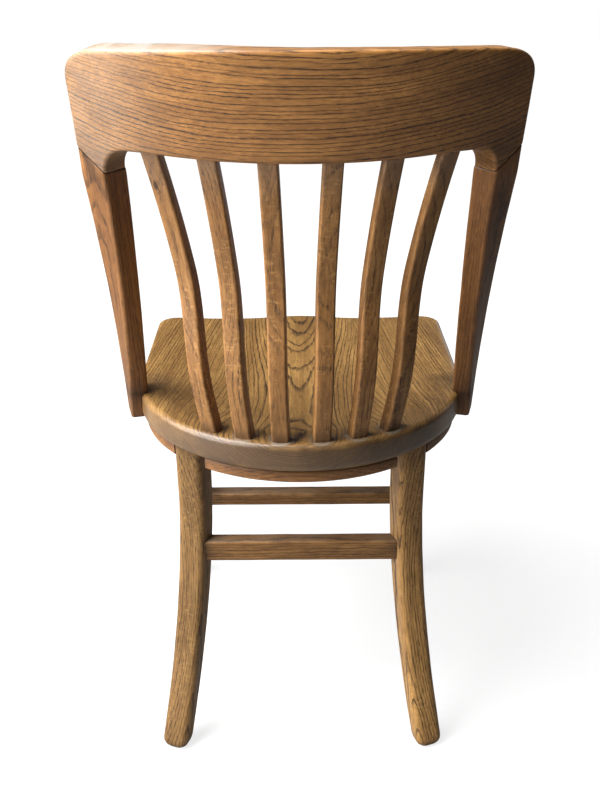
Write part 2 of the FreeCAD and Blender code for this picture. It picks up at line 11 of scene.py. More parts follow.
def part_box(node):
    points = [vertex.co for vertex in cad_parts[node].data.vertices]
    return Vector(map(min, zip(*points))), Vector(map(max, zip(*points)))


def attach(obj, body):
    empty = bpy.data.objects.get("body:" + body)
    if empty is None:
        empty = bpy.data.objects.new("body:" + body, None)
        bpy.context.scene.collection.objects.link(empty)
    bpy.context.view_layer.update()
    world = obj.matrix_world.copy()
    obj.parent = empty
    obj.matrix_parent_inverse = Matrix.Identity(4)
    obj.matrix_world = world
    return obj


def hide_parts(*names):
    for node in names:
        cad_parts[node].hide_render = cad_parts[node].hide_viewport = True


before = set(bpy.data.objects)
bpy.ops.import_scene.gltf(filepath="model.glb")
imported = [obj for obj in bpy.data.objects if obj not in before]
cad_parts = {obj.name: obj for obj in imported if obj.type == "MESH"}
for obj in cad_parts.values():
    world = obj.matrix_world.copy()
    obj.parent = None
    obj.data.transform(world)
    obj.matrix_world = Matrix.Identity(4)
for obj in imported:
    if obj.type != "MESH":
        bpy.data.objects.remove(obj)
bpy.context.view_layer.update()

bl_info = {
    "name": "Spindle Back Dining Chair",
    "version": (1, 0, 0),
    "blender": (4, 5, 0),
    "location": "View3D > Sidebar > Chair",
    "description": "Builds an old oak dining chair with a bowed crest rail, slats and a dished seat",
    "category": "Object",
}

UP = np.array((0.0, 0.0, 1.0))
MIRROR = np.array((-1.0, 1.0, 1.0))
SIDES = (("left", 1), ("right", -1))
SHARP_EDGE = math.radians(38)
WAVE_SCALE = 28.0
GLUE_LINE = 0.0005
GLUE_UNWORN = 0.006


def length(label, words, value):
    return bpy.props.FloatProperty(name=label, description=words, default=value, min=0.0, unit="LENGTH")


def angle(label, words, degrees):
    value = math.radians(degrees)
    return bpy.props.FloatProperty(name=label, description=words, default=value, subtype="ANGLE")


def share(label, words, value):
    return bpy.props.FloatProperty(name=label, description=words, default=value, subtype="FACTOR")


def number(label, words, value):
    return bpy.props.FloatProperty(name=label, description=words, default=value)


def power(label, words, watts):
    return bpy.props.FloatProperty(name=label, description=words, default=watts, min=0.0, unit="POWER")


def colour(label, words, value):
    return bpy.props.FloatVectorProperty(
        name=label, description=words, default=value, subtype="COLOR", size=3, min=0.0, max=1.0)


class SeatSizes(bpy.types.PropertyGroup):
    """Sizes of the dished seat"""
    height: length("Ledge height", "Floor to the flat ledge at the back", 0.443)
    thickness: length("Thickness", "Seat blank's thickness", 0.036)
    half_width: length("Half width", "Half the width, and the radius of the round back edge", 0.207)
    front_reach: length("Front reach", "Centre of the round back edge to the front edge", 0.214)
    front_bow: length("Front bow", "How far the front edge bows forward at the centre", 0.006)
    corner_radius: length("Front corners", "Radius of the front corners", 0.026)
    top_round: length("Upper rounding", "Rounding of the upper edge", 0.0075)
    bottom_round: length("Lower rounding", "Rounding of the lower edge", 0.0105)
    joint_offset: length("Board joint", "Centre line to each glue joint", 0.083)
    dish_depth: length("Dish depth", "Depth of the hollow", 0.011)
    dish_front_depth: length("Front depth", "Depth of the hollow at the front edge", 0.0045)
    dish_side_rim: length("Side rim", "Side edge to the rim of the hollow", 0.017)
    dish_back_rim: length("Back rim", "Back edge to the rim of the hollow", 0.039)
    dish_front_narrowing: length("Front narrowing", "How much the hollow narrows to the front", 0.014)
    pommel_half_width: length("Pommel", "Half width of the raised middle at the front", 0.050)
    pommel_share: share("Pommel height", "Part of the front depth that the pommel fills", 0.9)
    dish_blend: length("Dish blend", "Softness of the hollow's rim", 0.0006)


class BackSizes(bpy.types.PropertyGroup):
    """Sizes of the crest rail and the two back posts"""
    height: length("Back height", "Seat ledge to the top of the crest", 0.423)
    crest_height: length("Crest height", "At the centre", 0.1066)
    crest_crown: length("Crown", "Rise of the crest's top at the centre", 0.005)
    bottom_lift: length("Lower lift", "Rise of the crest's lower edge towards the arms", 0.005)
    level_run: length("Level run", "Level end of the lower edge", 0.024)
    outer_radius: length("Bend radius", "Radius of the crest's back face", 0.365)
    overhang: length("Overhang", "Seat's back edge to the crest's back face", 0.0273)
    rake: angle("Rake", "Backward lean of the crest", 17.0)
    thickness_low: length("Lower thickness", "Crest's thickness at the joint", 0.032)
    thickness_top: length("Upper thickness", "Crest's thickness at the top", 0.023)
    corner_radius: length("Corner drop", "How far down each upper corner's curve reaches", 0.030)
    corner_run: length("Corner run", "How far in along the top each upper corner's curve reaches", 0.046)
    edge_round: length("Edge rounding", "Rounding along the crest's faces", 0.004)
    arm_angle: angle("Arm angle", "Direction that each arm's outer face looks in", 35.9)
    arm_width: length("Arm width", "Width of each arm at the joint", 0.035)
    worn_top: length("Worn top", "How far the top's back edge is worn down at the left end", 0.006)
    end_flare: length("End flare", "How much each end widens to the top", 0.003)
    arch_radius: length("Arch radius", "Radius of the inner corner", 0.026)
    arch_run: length("Arch run", "Level part beside the arch", 0.0047)
    joint_drop: length("Joint drop", "Crest's lower edge down to the middle of the joint", 0.0084)
    joint_slope: angle("Joint slope", "Slant of the joint", 41.0)
    joint_gap: length("Joint gap", "Open line between the arm and the post", 0.00025)
    joint_arris: length("Joint arris", "Broken edge along the joint", 0.0009)
    foot_drop: length("Foot drop", "How far a post hangs below the seat", 0.002)
    foot_inset: length("Foot inset", "Seat's side to the middle of a post's foot", 0.0005)
    foot_y: length("Foot place", "Foot's distance behind the seat's centre", 0.0377)
    foot_angle: angle("Foot angle", "Direction that the foot's outer face looks in", 75.0)
    foot_width: length("Foot width", "Post's width at the foot", 0.033)
    foot_thickness: length("Foot thickness", "Post's thickness at the foot", 0.0225)
    post_bow: length("Post bow", "Inward bend at half height", 0.003)
    post_swell: number("Swell", "How late a post thickens towards the joint", 3.0)
    post_round: length("Post edges", "Rounding of a post's long edges", 0.0035)


class SlatSizes(bpy.types.PropertyGroup):
    """Sizes of the curved slats"""
    count: bpy.props.IntProperty(name="Count", description="Number of slats", default=6, min=2)
    rim: length("Rim", "Seat's back edge to the middle of a slat's foot", 0.016)
    seat_first: angle("First at seat", "Centre line to the nearest slat, round the seat", 6.8)
    seat_pitch: angle("Pitch at seat", "Between slats, round the seat", 12.7)
    crest_first: angle("First at crest", "Centre line to the nearest slat, round the crest", 5.2)
    crest_pitch: angle("Pitch at crest", "Between slats, round the crest", 9.83)
    width: length("Width", "Across the slat", 0.0205)
    thickness_low: length("Lower thickness", "At the seat", 0.016)
    thickness_top: length("Upper thickness", "At the crest", 0.013)
    bow: length("Bow", "Forward bend of the upper part", 0.0145)
    dip: share("Dip", "Backward bend of the lower part, as a share of the bow", 0.34)
    turn_low: share("Turn from", "Height where the lower bend starts to pass into the upper one", 0.12)
    turn_high: share("Turn to", "Height where the upper bend is full", 0.62)
    edge_round: length("Edge rounding", "Rounding of the long edges", 0.0030)


class BaseSizes(bpy.types.PropertyGroup):
    """Sizes of the legs, stretchers and aprons"""
    back_inset: length("Back leg inset", "Seat's back edge to the leg's centre", 0.02735)
    back_bearing: angle("Back leg bearing", "Round the seat from straight back", 46.35)
    back_width: length("Back leg width", "Across the leg", 0.035)
    back_depth_top: length("Back leg depth", "At the seat", 0.038)
    back_depth_foot: length("Back foot depth", "At the floor", 0.027)
    back_angle: angle("Back leg turn", "Turn of the leg's section", 20.0)
    back_flare_out: length("Flare out", "Sideways flare of the back foot", 0.034)
    back_flare_back: length("Flare back", "Backward flare of the back foot", 0.074)
    back_straight: length("Straight run", "Length under the seat before the leg bends", 0.064)
    back_power: number("Bend", "Shape of the back leg's bend", 1.8)
    front_side_inset: length("Front leg side inset", "Seat's side to the leg's centre", 0.033)
    front_front_inset: length("Front leg front inset", "Seat's front to the leg's centre", 0.040)
    front_top: length("Front leg", "Side of the section at the seat", 0.034)
    front_foot: length("Front foot", "Side of the section at the floor", 0.027)
    front_splay_out: length("Front splay out", "Sideways splay of the front foot", 0.003)
    front_splay_front: length("Front splay", "Forward splay of the front foot", 0.013)
    leg_round: length("Leg edges", "Rounding of the legs' long edges", 0.009)
    foot_round: length("Foot rounding", "Rounding of the feet", 0.0125)
    apron_inset: length("Apron inset", "Seat's edge to the aprons' outer faces", 0.007)
    apron_setback: length("Apron setback", "Front legs' faces to the front apron", 0.002)
    apron_thickness: length("Apron thickness", "Across an apron", 0.022)
    apron_height: length("Apron height", "Below the seat", 0.015)
    apron_proud: length("Apron proud", "Side aprons beyond the front legs", 0.001)
    apron_round: length("Apron edges", "Rounding of the aprons' edges", 0.003)
    apron_gap: length("Apron gap", "Between an apron's end and the leg", 0.001)
    rear_top: length("Rear stretcher top", "Height of its upper face", 0.2765)
    rear_back: length("Rear stretcher back", "Its back face, from the seat's centre", 0.144)
    rear_height: length("Rear stretcher height", "Its own height", 0.028)
    rear_depth: length("Rear stretcher depth", "Its own depth", 0.020)
    front_middle: length("Front stretcher", "Height of its middle", 0.150)
    front_height: length("Front stretcher height", "Its own height", 0.0205)
    front_depth: length("Front stretcher depth", "Its own depth", 0.025)
    side_middle: length("Side stretchers", "Height of their middle", 0.205)
    side_height: length("Side stretcher height", "Their own height", 0.024)
    side_depth: length("Side stretcher depth", "Their own depth", 0.016)
    bar_round: length("Stretcher edges", "Rounding of the stretchers' edges", 0.003)


class FastenerSizes(bpy.types.PropertyGroup):
    """Sizes of the wood plugs and the screws' heads"""
    plug_radius: length("Plug radius", "Wood plugs over the post screws", 0.0045)
    plug_height: length("Plug height", "Along a plug", 0.005)
    plug_spread: length("Plug spread", "Middle of a post to each of its plugs", 0.0075)
    plug_sink: length("Plug sink", "A post's face to the middle of a plug", 0.0022)
    screw_radius: length("Screw radius", "Heads of the apron screws", 0.0040)
    screw_height: length("Screw height", "Along a screw's head", 0.0016)
    screw_sink: length("Screw sink", "An apron's lower face to the middle of a head", 0.0007)


class OakColours(bpy.types.PropertyGroup):
    """Colours of the stained oak and its finish"""
    crest: colour("Crest", "Late wood of the crest rail", (0.456, 0.210, 0.057))
    post: colour("Posts", "Late wood of the posts", (0.245, 0.107, 0.031))
    slat: colour("Slats", "Late wood of the slats", (0.310, 0.150, 0.047))
    seat: colour("Seat", "Late wood of the seat boards", (0.325, 0.182, 0.057))
    leg: colour("Legs", "Late wood of the legs", (0.350, 0.192, 0.062))
    bar: colour("Stretchers", "Late wood of the stretchers", (0.320, 0.160, 0.050))
    apron: colour("Aprons", "Late wood of the aprons", (0.335, 0.156, 0.054))
    pore: colour("Pores", "Stain in the open pores", (0.036, 0.016, 0.006))
    # This colour also paints the highlight on the crest's top
    dust_and_highlight: colour("Dust", "Dust and old wax", (0.420, 0.385, 0.330))
    floor: colour("Floor", "Studio floor", (0.30, 0.30, 0.30))


class StudioSettings(bpy.types.PropertyGroup):
    """Lamps and camera of the studio"""
    window_power: power("Window", "Large lamp beside the chair's back", 58.0)
    sky_power: power("Sky panel", "Soft lamp above", 68.0)
    fill_power: power("Room fill", "Weak lamp before the chair", 6.0)
    lens: bpy.props.FloatProperty(
        name="Lens", description="Focal length in millimetres", default=59.33, unit="CAMERA")
    camera_place: bpy.props.FloatVectorProperty(
        name="Camera place", description="From the middle of the chair's floor", size=3,
        default=(0.0070, 1.1548, 0.9554), subtype="TRANSLATION")
    yaw: angle("Camera yaw", "Turn from straight ahead", -0.33)
    pitch: angle("Camera pitch", "How far the camera looks down", 24.98)
    roll: angle("Camera roll", "Turn about the line of sight", -0.20)


# Shapes


def facing(turn):
    """Across and outward directions of faces turned from straight back towards +X."""
    turn = np.asarray(turn, float)
    flat = np.zeros_like(turn)
    across = np.stack((np.cos(turn), -np.sin(turn), flat), -1)
    outward = np.stack((np.sin(turn), np.cos(turn), flat), -1)
    return across, outward


def blend(low, high, part):
    return low + (high - low) * part


def ease(part):
    t = np.clip(part, 0.0, 1.0)
    return t * t * (3 - 2 * t)


def unit(v):
    v = np.asarray(v, float)
    return v / np.linalg.norm(v)


class Chair:
    """Places that follow from the sizes, about the centre of the seat's round back edge."""

    def __init__(self, scene):
        self.seat = scene.chair_seat
        self.back = scene.chair_back
        self.slat = scene.chair_slats
        self.base = scene.chair_base
        seat, back, base = self.seat, self.back, self.base
        self.shift = np.array((0.0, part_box("centre_seat_board")[0][1] + seat.front_reach, 0.0))
        self.seat_bottom = seat.height - seat.thickness
        self.crest_top = seat.height + back.height
        self.crest_bottom = self.crest_top - back.crest_height
        self.joint_z = self.crest_bottom - back.joint_drop
        self.post_bottom = self.seat_bottom - back.foot_drop
        self.front_leg_x = seat.half_width - base.front_side_inset
        self.front_leg_y = base.front_front_inset - seat.front_reach
        half_leg, half_apron = base.front_top / 2, base.apron_thickness / 2
        self.apron_ring = seat.half_width - base.apron_inset - half_apron
        self.apron_front_x = self.front_leg_x + half_leg + base.apron_proud - half_apron
        self.apron_front_y = self.front_leg_y - half_leg + base.apron_setback + half_apron

    def crest_thickness(self, z):
        part = (z - self.joint_z) / (self.crest_top - self.joint_z)
        return blend(self.back.thickness_low, self.back.thickness_top, part)

    def crest_point(self, turn, z, depth=0.5):
        """Point in the crest's thickness: 0 on the back face, 1 on the front face."""
        back = self.back
        turn, z = np.asarray(turn, float), np.asarray(z, float)
        r = back.outer_radius - self.crest_thickness(z) * depth
        lean = (z - self.crest_bottom) * math.tan(back.rake)
        y = self.seat.half_width + back.overhang - back.outer_radius + lean
        return np.stack((r * np.sin(turn), y + r * np.cos(turn), z + 0 * turn), -1)

    def joint_plane(self):
        """Point on the left joint and its normal, which points up into the crest."""
        back = self.back
        across = facing(back.arm_angle)[0]
        normal = UP * math.cos(back.joint_slope) - across * math.sin(back.joint_slope)
        return self.crest_point(back.arm_angle, self.joint_z), normal

    def joint_line(self, co):
        """1 along the slanted joints between the arms and the posts, 0 elsewhere."""
        point, normal = self.joint_plane()
        as_left = co * np.where(co[:, :1] < 0, MIRROR, 1.0)
        away = np.abs((as_left - point) @ normal)
        return (away < self.back.joint_gap + self.back.joint_arris * 0.4) * 1.0

    def post_frame(self, z):
        """Centres, turns, widths and thicknesses of the left post at heights."""
        back = self.back
        z = np.asarray(z, float)
        head_z = self.joint_z - back.arm_width / 2
        part = (z - self.post_bottom) / (head_z - self.post_bottom)
        low = np.clip(part, None, 1.0)
        foot = np.array((self.seat.half_width - back.foot_inset, back.foot_y, self.post_bottom))
        head = self.crest_point(back.arm_angle, head_z)
        centre = foot + (head - foot) * low[:, None]
        centre[:, 0] -= 4 * back.post_bow * low * (1 - low)
        above = part > 1
        centre[above] = self.crest_point(back.arm_angle, z[above])
        turn = blend(back.foot_angle, back.arm_angle, low)
        width = blend(back.foot_width, back.arm_width, low)
        swell = np.clip(low, 0, None) ** back.post_swell
        thick = blend(back.foot_thickness, self.crest_thickness(head_z), swell)
        thick[above] = self.crest_thickness(z[above])
        return centre, turn, width, thick

    def slat_feet(self):
        """Middles of the slats' feet on the seat, from the left one to the right one."""
        slat = self.slat
        spot = (slat.count - 1) / 2 - np.arange(slat.count)
        turn = np.sign(spot) * (slat.seat_first + (np.abs(spot) - 0.5) * slat.seat_pitch)
        r = self.seat.half_width - slat.rim
        return np.stack((r * np.sin(turn), r * np.cos(turn)), 1)

    def back_leg_centre(self, z):
        base = self.base
        z = np.asarray(z, float)
        bend_z = self.seat_bottom - base.back_straight
        bend = (np.clip(bend_z - z, 0, None) / bend_z) ** base.back_power
        r = self.seat.half_width - base.back_inset
        x = r * math.sin(base.back_bearing) + base.back_flare_out * bend
        y = r * math.cos(base.back_bearing) + base.back_flare_back * bend
        return np.stack((x, y, z), -1)

    def front_leg_centre(self, z):
        base = self.base
        z = np.asarray(z, float)
        part = 1 - z / self.seat_bottom
        x = self.front_leg_x + base.front_splay_out * part
        y = self.front_leg_y - base.front_splay_front * part
        return np.stack((x, y, z), -1)

    def dish(self, x, y):
        """How far the seat's hollow lies below its ledge."""
        seat = self.seat
        forward = ease(-y / seat.front_reach)
        half = seat.half_width - seat.dish_side_rim - seat.dish_front_narrowing * forward
        back = np.clip(y, 0, None) / (seat.half_width - seat.dish_back_rim)
        reach = np.hypot(x / half, back)
        depth = blend(seat.dish_depth, seat.dish_front_depth, forward)
        hollow = depth * (1 - reach ** 3)
        hollow *= 1 - seat.pommel_share * forward * np.exp(-(x / seat.pommel_half_width) ** 2)
        return 0.5 * (hollow + np.sqrt(hollow ** 2 + seat.dish_blend ** 2)) - seat.dish_blend * 0.1


def stations(low, high, step, foot_round):
    """Places along a bar, and how far its section is drawn in at each for a rounded foot."""
    places = np.linspace(low + foot_round, high, max(3, int((high - low) / step)))
    inset = np.zeros(len(places))
    if foot_round > 0:
        turn = np.radians(np.linspace(0, 90, 6))[:-1]
        places = np.concatenate((low + foot_round * (1 - np.cos(turn)), places))
        inset = np.concatenate((foot_round * (1 - np.sin(turn)), inset))
    return places, inset


def sweep(centre, across, outward, width, depth, radius, inset):
    """Closed bar through rounded rectangles; across x outward points along the bar."""
    n = len(centre)
    half_w = np.broadcast_to(width, n) / 2 - inset
    half_d = np.broadcast_to(depth, n) / 2 - inset
    r = np.minimum(radius, np.minimum(half_w, half_d) * 0.95)

    def corner_place(corner, part):
        su, sv = ((1, 1), (-1, 1), (-1, -1), (1, -1))[corner % 4]
        turn = (corner + part) * math.pi / 2
        return np.stack((su * (half_w - r) + r * math.cos(turn), sv * (half_d - r) + r * math.sin(turn)))

    columns = []
    for corner in range(4):
        columns += [corner_place(corner, part) for part in np.linspace(0, 1, 6)]
        last, after = columns[-1], corner_place(corner + 1, 0)
        columns += [blend(last, after, part) for part in (0.25, 0.5, 0.75)]
    u, v = np.stack(columns, 2)[..., None]
    verts = centre[:, None, :] + across[:, None, :] * u + outward[:, None, :] * v
    m = len(columns)
    faces = []
    for i in range(n - 1):
        for k in range(m):
            j = (k + 1) % m
            faces.append((i * m + k, i * m + j, (i + 1) * m + j, (i + 1) * m + k))
    faces.append(tuple(range(m - 1, -1, -1)))
    faces.append(tuple(range((n - 1) * m, n * m)))
    return verts.reshape(-1, 3), faces


def straight_bar(start, end, depth, height, radius):
    along = unit(end - start)
    across = unit(np.cross(UP, along))
    run, inset = stations(0.0, np.linalg.norm(end - start), 0.006, 0.0)
    directions = np.tile(across, (len(run), 1)), np.tile(UP, (len(run), 1))
    return sweep(start + along * run[:, None], *directions, depth, height, radius, inset)


def resampled(outline, step):
    """Closed flat outline with evenly spaced points."""
    pts = np.vstack((outline, outline[:1]))
    run = np.concatenate(([0.0], np.cumsum(np.linalg.norm(np.diff(pts, axis=0), axis=1))))
    t = np.linspace(0, run[-1], max(8, int(round(run[-1] / step))), endpoint=False)
    return np.stack((np.interp(t, run, pts[:, 0]), np.interp(t, run, pts[:, 1])), 1)


def rounded_corner(before, corner, after, radius):
    """Arc that replaces a corner of a flat outline."""
    a = unit(before - corner)
    c = unit(after - corner)
    half = math.acos(float(np.clip(a @ c, -1, 1))) / 2
    centre = corner + unit(a + c) * (radius / math.sin(half))
    start = corner + a * (radius / math.tan(half)) - centre
    end = corner + c * (radius / math.tan(half)) - centre
    first = math.atan2(start[1], start[0])
    turn = (math.atan2(end[1], end[0]) - first + math.pi) % (2 * math.pi) - math.pi
    t = first + turn * np.linspace(0, 1, 16)
    return centre + radius * np.stack((np.cos(t), np.sin(t)), 1)


def drawn_in(outline, dist):
    """Counter-clockwise outline moved inwards."""
    edge = np.roll(outline, -1, 0) - outline
    normal = np.stack((-edge[:, 1], edge[:, 0]), 1)
    normal /= np.linalg.norm(normal, axis=1)[:, None]
    before = np.roll(normal, 1, 0)
    scale = 1 + (normal * before).sum(1)
    return outline + dist * (normal + before) / scale[:, None]


def inside(outline, places):
    """Which places lie inside a flat outline."""
    x1, y1 = outline[:, 0], outline[:, 1]
    x2, y2 = np.roll(x1, -1), np.roll(y1, -1)
    px, py = places[:, :1], places[:, 1:]
    rise = np.where(y2 == y1, 1e-12, y2 - y1)
    crossing = ((y1 > py) != (y2 > py)) & (px < (x2 - x1) * (py - y1) / rise + x1)
    return crossing.sum(1) % 2 == 1


def filled(outline, spacing):
    """Triangles over a flat outline, with evenly spread points inside it."""
    low, high = outline.min(0), outline.max(0)
    xs = np.arange(low[0] + spacing / 2, high[0], spacing)
    ys = np.arange(low[1] + spacing / 2, high[1], spacing * 0.87)
    gx, gy = np.meshgrid(xs, ys)
    gx[1::2] += spacing / 2
    grid = np.stack((gx.ravel(), gy.ravel()), 1)
    grid = grid[inside(outline, grid)]
    near = np.min(np.hypot(grid[:, :1] - outline[:, 0], grid[:, 1:] - outline[:, 1]), axis=1)
    grid = grid[near > 0.6 * spacing]
    coords = [Vector(p) for p in np.vstack((outline, grid))]
    ring = list(range(len(outline)))
    _, _, tris, origin, _, _ = delaunay_2d_cdt(coords, [], [ring], 0, 1e-7, True)
    names = [o[0] for o in origin]
    flat = np.array([coords[i] for i in names])
    order = {name: k for k, name in enumerate(names)}
    walls = {(order[i], order[(i + 1) % len(ring)]) for i in ring}
    tris = [tuple(f) for f in tris]
    owner = {(f[k], f[(k + 1) % 3]): n for n, f in enumerate(tris) for k in range(3)}
    kept, queue = set(), [owner[w] for w in walls]
    while queue:
        n = queue.pop()
        if n not in kept:
            kept.add(n)
            f = tris[n]
            edges = [(f[k], f[(k + 1) % 3]) for k in range(3)]
            queue += [owner[b, a] for a, b in edges if (a, b) not in walls and (b, a) in owner]
    return flat, [tris[n] for n in sorted(kept)], [order[i] for i in ring]


def plate(outline, round_a, round_b, spacing_a, spacing_b):
    """Thick plate with rounded rims.

    Returns flat places, which face each vertex goes with (0 or 1), how far it lies inside that
    face, and the faces. Face 0 is the one that sees the outline run counter-clockwise.
    """
    turn = np.radians(np.linspace(90, 0, 7))
    inner_a, tris_a, ring_a = filled(drawn_in(outline, round_a), spacing_a)
    inner_b, tris_b, ring_b = filled(drawn_in(outline, round_b), spacing_b)
    flat = [inner_a]
    side = [np.zeros(len(inner_a))]
    deep = [np.zeros(len(inner_a))]
    rings = [ring_a]
    count = len(inner_a)
    m = len(outline)
    for face, r, turns in ((0, round_a, turn[1:]), (1, round_b, turn[:0:-1])):
        for t in turns:
            flat.append(drawn_in(outline, r * (1 - math.cos(t))))
            side.append(np.full(m, float(face)))
            deep.append(np.full(m, r * (1 - math.sin(t))))
            rings.append(list(range(count, count + m)))
            count += m
    flat.append(inner_b)
    side.append(np.ones(len(inner_b)))
    deep.append(np.zeros(len(inner_b)))
    rings.append([count + i for i in ring_b])
    faces = list(tris_a)
    for near, far in zip(rings[:-1], rings[1:]):
        for k in range(m):
            j = (k + 1) % m
            faces.append((far[k], far[j], near[j], near[k]))
    faces += [tuple(count + i for i in reversed(t)) for t in tris_b]
    return np.vstack(flat), np.concatenate(side), np.concatenate(deep), faces


def mirrored(verts, faces):
    return verts * (-1, 1, 1), [tuple(reversed(f)) for f in faces]


def trimmed(verts, faces, cuts, arris):
    """Keeps what lies on the normals' side of each plane, closes the cuts and breaks their edges."""
    bm = bmesh.new()
    made = [bm.verts.new(v) for v in verts]
    for f in faces:
        bm.faces.new([made[i] for i in f])
    for point, normal in cuts:
        geom = bm.verts[:] + bm.edges[:] + bm.faces[:]
        cut = bmesh.ops.bisect_plane(
            bm, geom=geom, dist=1e-6, plane_co=Vector(point), plane_no=Vector(normal), clear_inner=True)
        rim = [e for e in cut["geom_cut"] if isinstance(e, bmesh.types.BMEdge) and e.is_boundary]
        caps = bmesh.ops.edgeloop_fill(bm, edges=rim)["faces"]
        bmesh.ops.recalc_face_normals(bm, faces=bm.faces[:])
        if arris > 0:
            rim = list({e for f in caps for e in f.edges})
            bmesh.ops.bevel(bm, geom=rim, offset=arris, segments=2, profile=0.5, affect="EDGES")
    bm.verts.index_update()
    out = np.array([v.co for v in bm.verts])
    polys = [tuple(v.index for v in f.verts) for f in bm.faces]
    bm.free()
    return out, polys


# Pieces


def board(along, wide, heart, lot):
    """A board's own directions, a point on the heart of its tree, and where along the tree it was."""
    along = unit(along)
    wide = unit(np.asarray(wide, float) - along * (along @ np.asarray(wide, float)))
    return along, wide, np.cross(along, wide), np.asarray(heart, float), lot


def store(mesh, name, values):
    vector = np.ndim(values) == 2
    made = mesh.attributes.new(name, "FLOAT_VECTOR" if vector else "FLOAT", "POINT")
    made.data.foreach_set("vector" if vector else "value", np.asarray(values, np.float32).ravel())


def points(mesh, what="co"):
    source = mesh.vertices if what == "co" else mesh.vertex_normals
    out = np.zeros(len(mesh.vertices) * 3, np.float32)
    source.foreach_get("co" if what == "co" else "vector", out)
    return out.reshape(-1, 3).astype(float)


def edge_wear(mesh):
    """1 on rounded edges, 0 on flat and hollow places; its bends are one over a radius in metres."""
    wear_from, wear_full = 15.0, 105.0
    co, no = points(mesh), points(mesh, "normal")
    ends = np.zeros(len(mesh.edges) * 2, np.int32)
    mesh.edges.foreach_get("vertices", ends)
    i, j = ends.reshape(-1, 2).T
    run = co[j] - co[i]
    bend = ((no[j] - no[i]) * run).sum(1) / np.maximum((run * run).sum(1), 1e-9)
    total, count = np.zeros(len(co)), np.zeros(len(co))
    for k in (i, j):
        np.add.at(total, k, bend)
        np.add.at(count, k, 1)
    return np.clip((total / np.maximum(count, 1) - wear_from) / (wear_full - wear_from), 0, 1)


def unevenness(co, size, seed):
    """Gentle waviness of worn hand-finished wood, -1 to 1."""
    step = Vector((seed * 7.3, seed * 3.1, seed * 5.7))
    return np.array([field_noise.noise(Vector(p) * size + step) for p in co])


def make_piece(chair, name, shape, grown, material, node, grime_and_shade=None, dust_and_highlight=None, glued=None,
               wavy=0.00025, tone_and_painted_light=0.0, seed=1):
    """Mesh object in the chair's place, with its grain, wear, grime and dust, and painted shade and
    highlight, standing for a CAD node.

    Its darkening gives how far each vertex is darkened, as grime and as painted shade; its dust how far
    each is greyed, as dust and, on the crest, as a painted highlight; its tone lightens or darkens the
    whole piece, as painted light on the left post and the legs. glued gives its distance from the
    nearest glue joint, where the piece isn't worn.
    """
    mesh = bpy.data.meshes.new(name)
    verts, faces = shape
    mesh.from_pydata([tuple(v) for v in verts], [], faces)
    mesh.validate()
    mesh.polygons.foreach_set("use_smooth", np.ones(len(mesh.polygons), bool))
    mesh.update()
    co, no = points(mesh), points(mesh, "normal")
    rubbed = edge_wear(mesh)
    if glued is not None:
        gap = glued(co)
        joint = gap < GLUE_LINE
        rubbed[gap < GLUE_UNWORN] = 0.0
        no[joint, 0] = 0.0
        no[joint] /= np.linalg.norm(no[joint], axis=1)[:, None]
    along, wide, thick, heart, lot = grown
    rel = co - heart
    store(mesh, "grain", np.stack((rel @ along + lot, rel @ wide, rel @ thick), 1))
    none = np.zeros(len(co))
    dirt_and_shade = none if grime_and_shade is None else np.clip(grime_and_shade(co), 0, 1)
    grey = none if dust_and_highlight is None else np.clip(dust_and_highlight(co, no), 0, 1)
    # Wear; darkening as grime and painted shade; greying as dust and painted highlight
    store(mesh, "age", np.stack((rubbed, dirt_and_shade, grey), 1))
    # End-grain share and the piece's tone, which on the left post and the legs is painted light
    store(mesh, "cut", np.stack((np.abs(no @ along) ** 2, none + tone_and_painted_light, none), 1))
    co = co + no * (wavy * unevenness(co, WAVE_SCALE, seed))[:, None] + chair.shift
    mesh.vertices.foreach_set("co", co.astype(np.float32).ravel())
    mesh.set_sharp_from_angle(angle=SHARP_EDGE)
    mesh.update()
    hand_over(name, mesh, material, [node])


def hand_over(name, mesh, material, nodes):
    """Object with a finished mesh, standing for CAD nodes; its slot has its material's name."""
    old = bpy.data.objects.get(name)
    if old is not None:
        bpy.data.objects.remove(old)
    obj = bpy.data.objects.new(name, mesh)
    bpy.context.scene.collection.objects.link(obj)
    mesh.materials.clear()
    mesh.materials.append(material)
    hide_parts(*nodes)
    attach(obj, "root")


def near_height(level, reach):
    """Darkening that gathers at one height, as grime and as painted shade."""
    def amount(co):
        return np.exp(-np.abs(co[:, 2] - level) / reach)
    return amount


# Node helpers


class Field:
    """A socket with arithmetic: each operation adds a Math node."""

    def __init__(self, tree, socket):
        self.tree = tree
        self.socket = socket

    def apply(self, operation, *others):
        node = self.tree.nodes.new("ShaderNodeMath")
        node.operation = operation
        for value, socket in zip((self, *others), node.inputs):
            plug(self.tree, value, socket)
        return Field(self.tree, node.outputs[0])

    def __add__(self, other):
        return self.apply("ADD", other)

    def __sub__(self, other):
        return self.apply("SUBTRACT", other)

    def __mul__(self, other):
        return self.apply("MULTIPLY", other)

    def __truediv__(self, other):
        return self.apply("DIVIDE", other)

    __radd__ = __add__
    __rmul__ = __mul__

    def __rsub__(self, other):
        return (self * -1.0) + other

    def limits(self, low, high, out_low=0.0, out_high=1.0):
        """Smooth step from out_low at low to out_high at high."""
        node = linked(self.tree, "ShaderNodeMapRange", {"interpolation_type": "SMOOTHSTEP"}, Value=self,
                      From_Min=low, From_Max=high, To_Min=out_low, To_Max=out_high)
        return Field(self.tree, node.outputs[0])


def plug(tree, value, socket):
    """Links a field or a socket to an input, or sets the input's own value."""
    if isinstance(value, Field):
        value = value.socket
    if isinstance(value, bpy.types.NodeSocket):
        tree.links.new(value, socket)
    else:
        socket.default_value = value


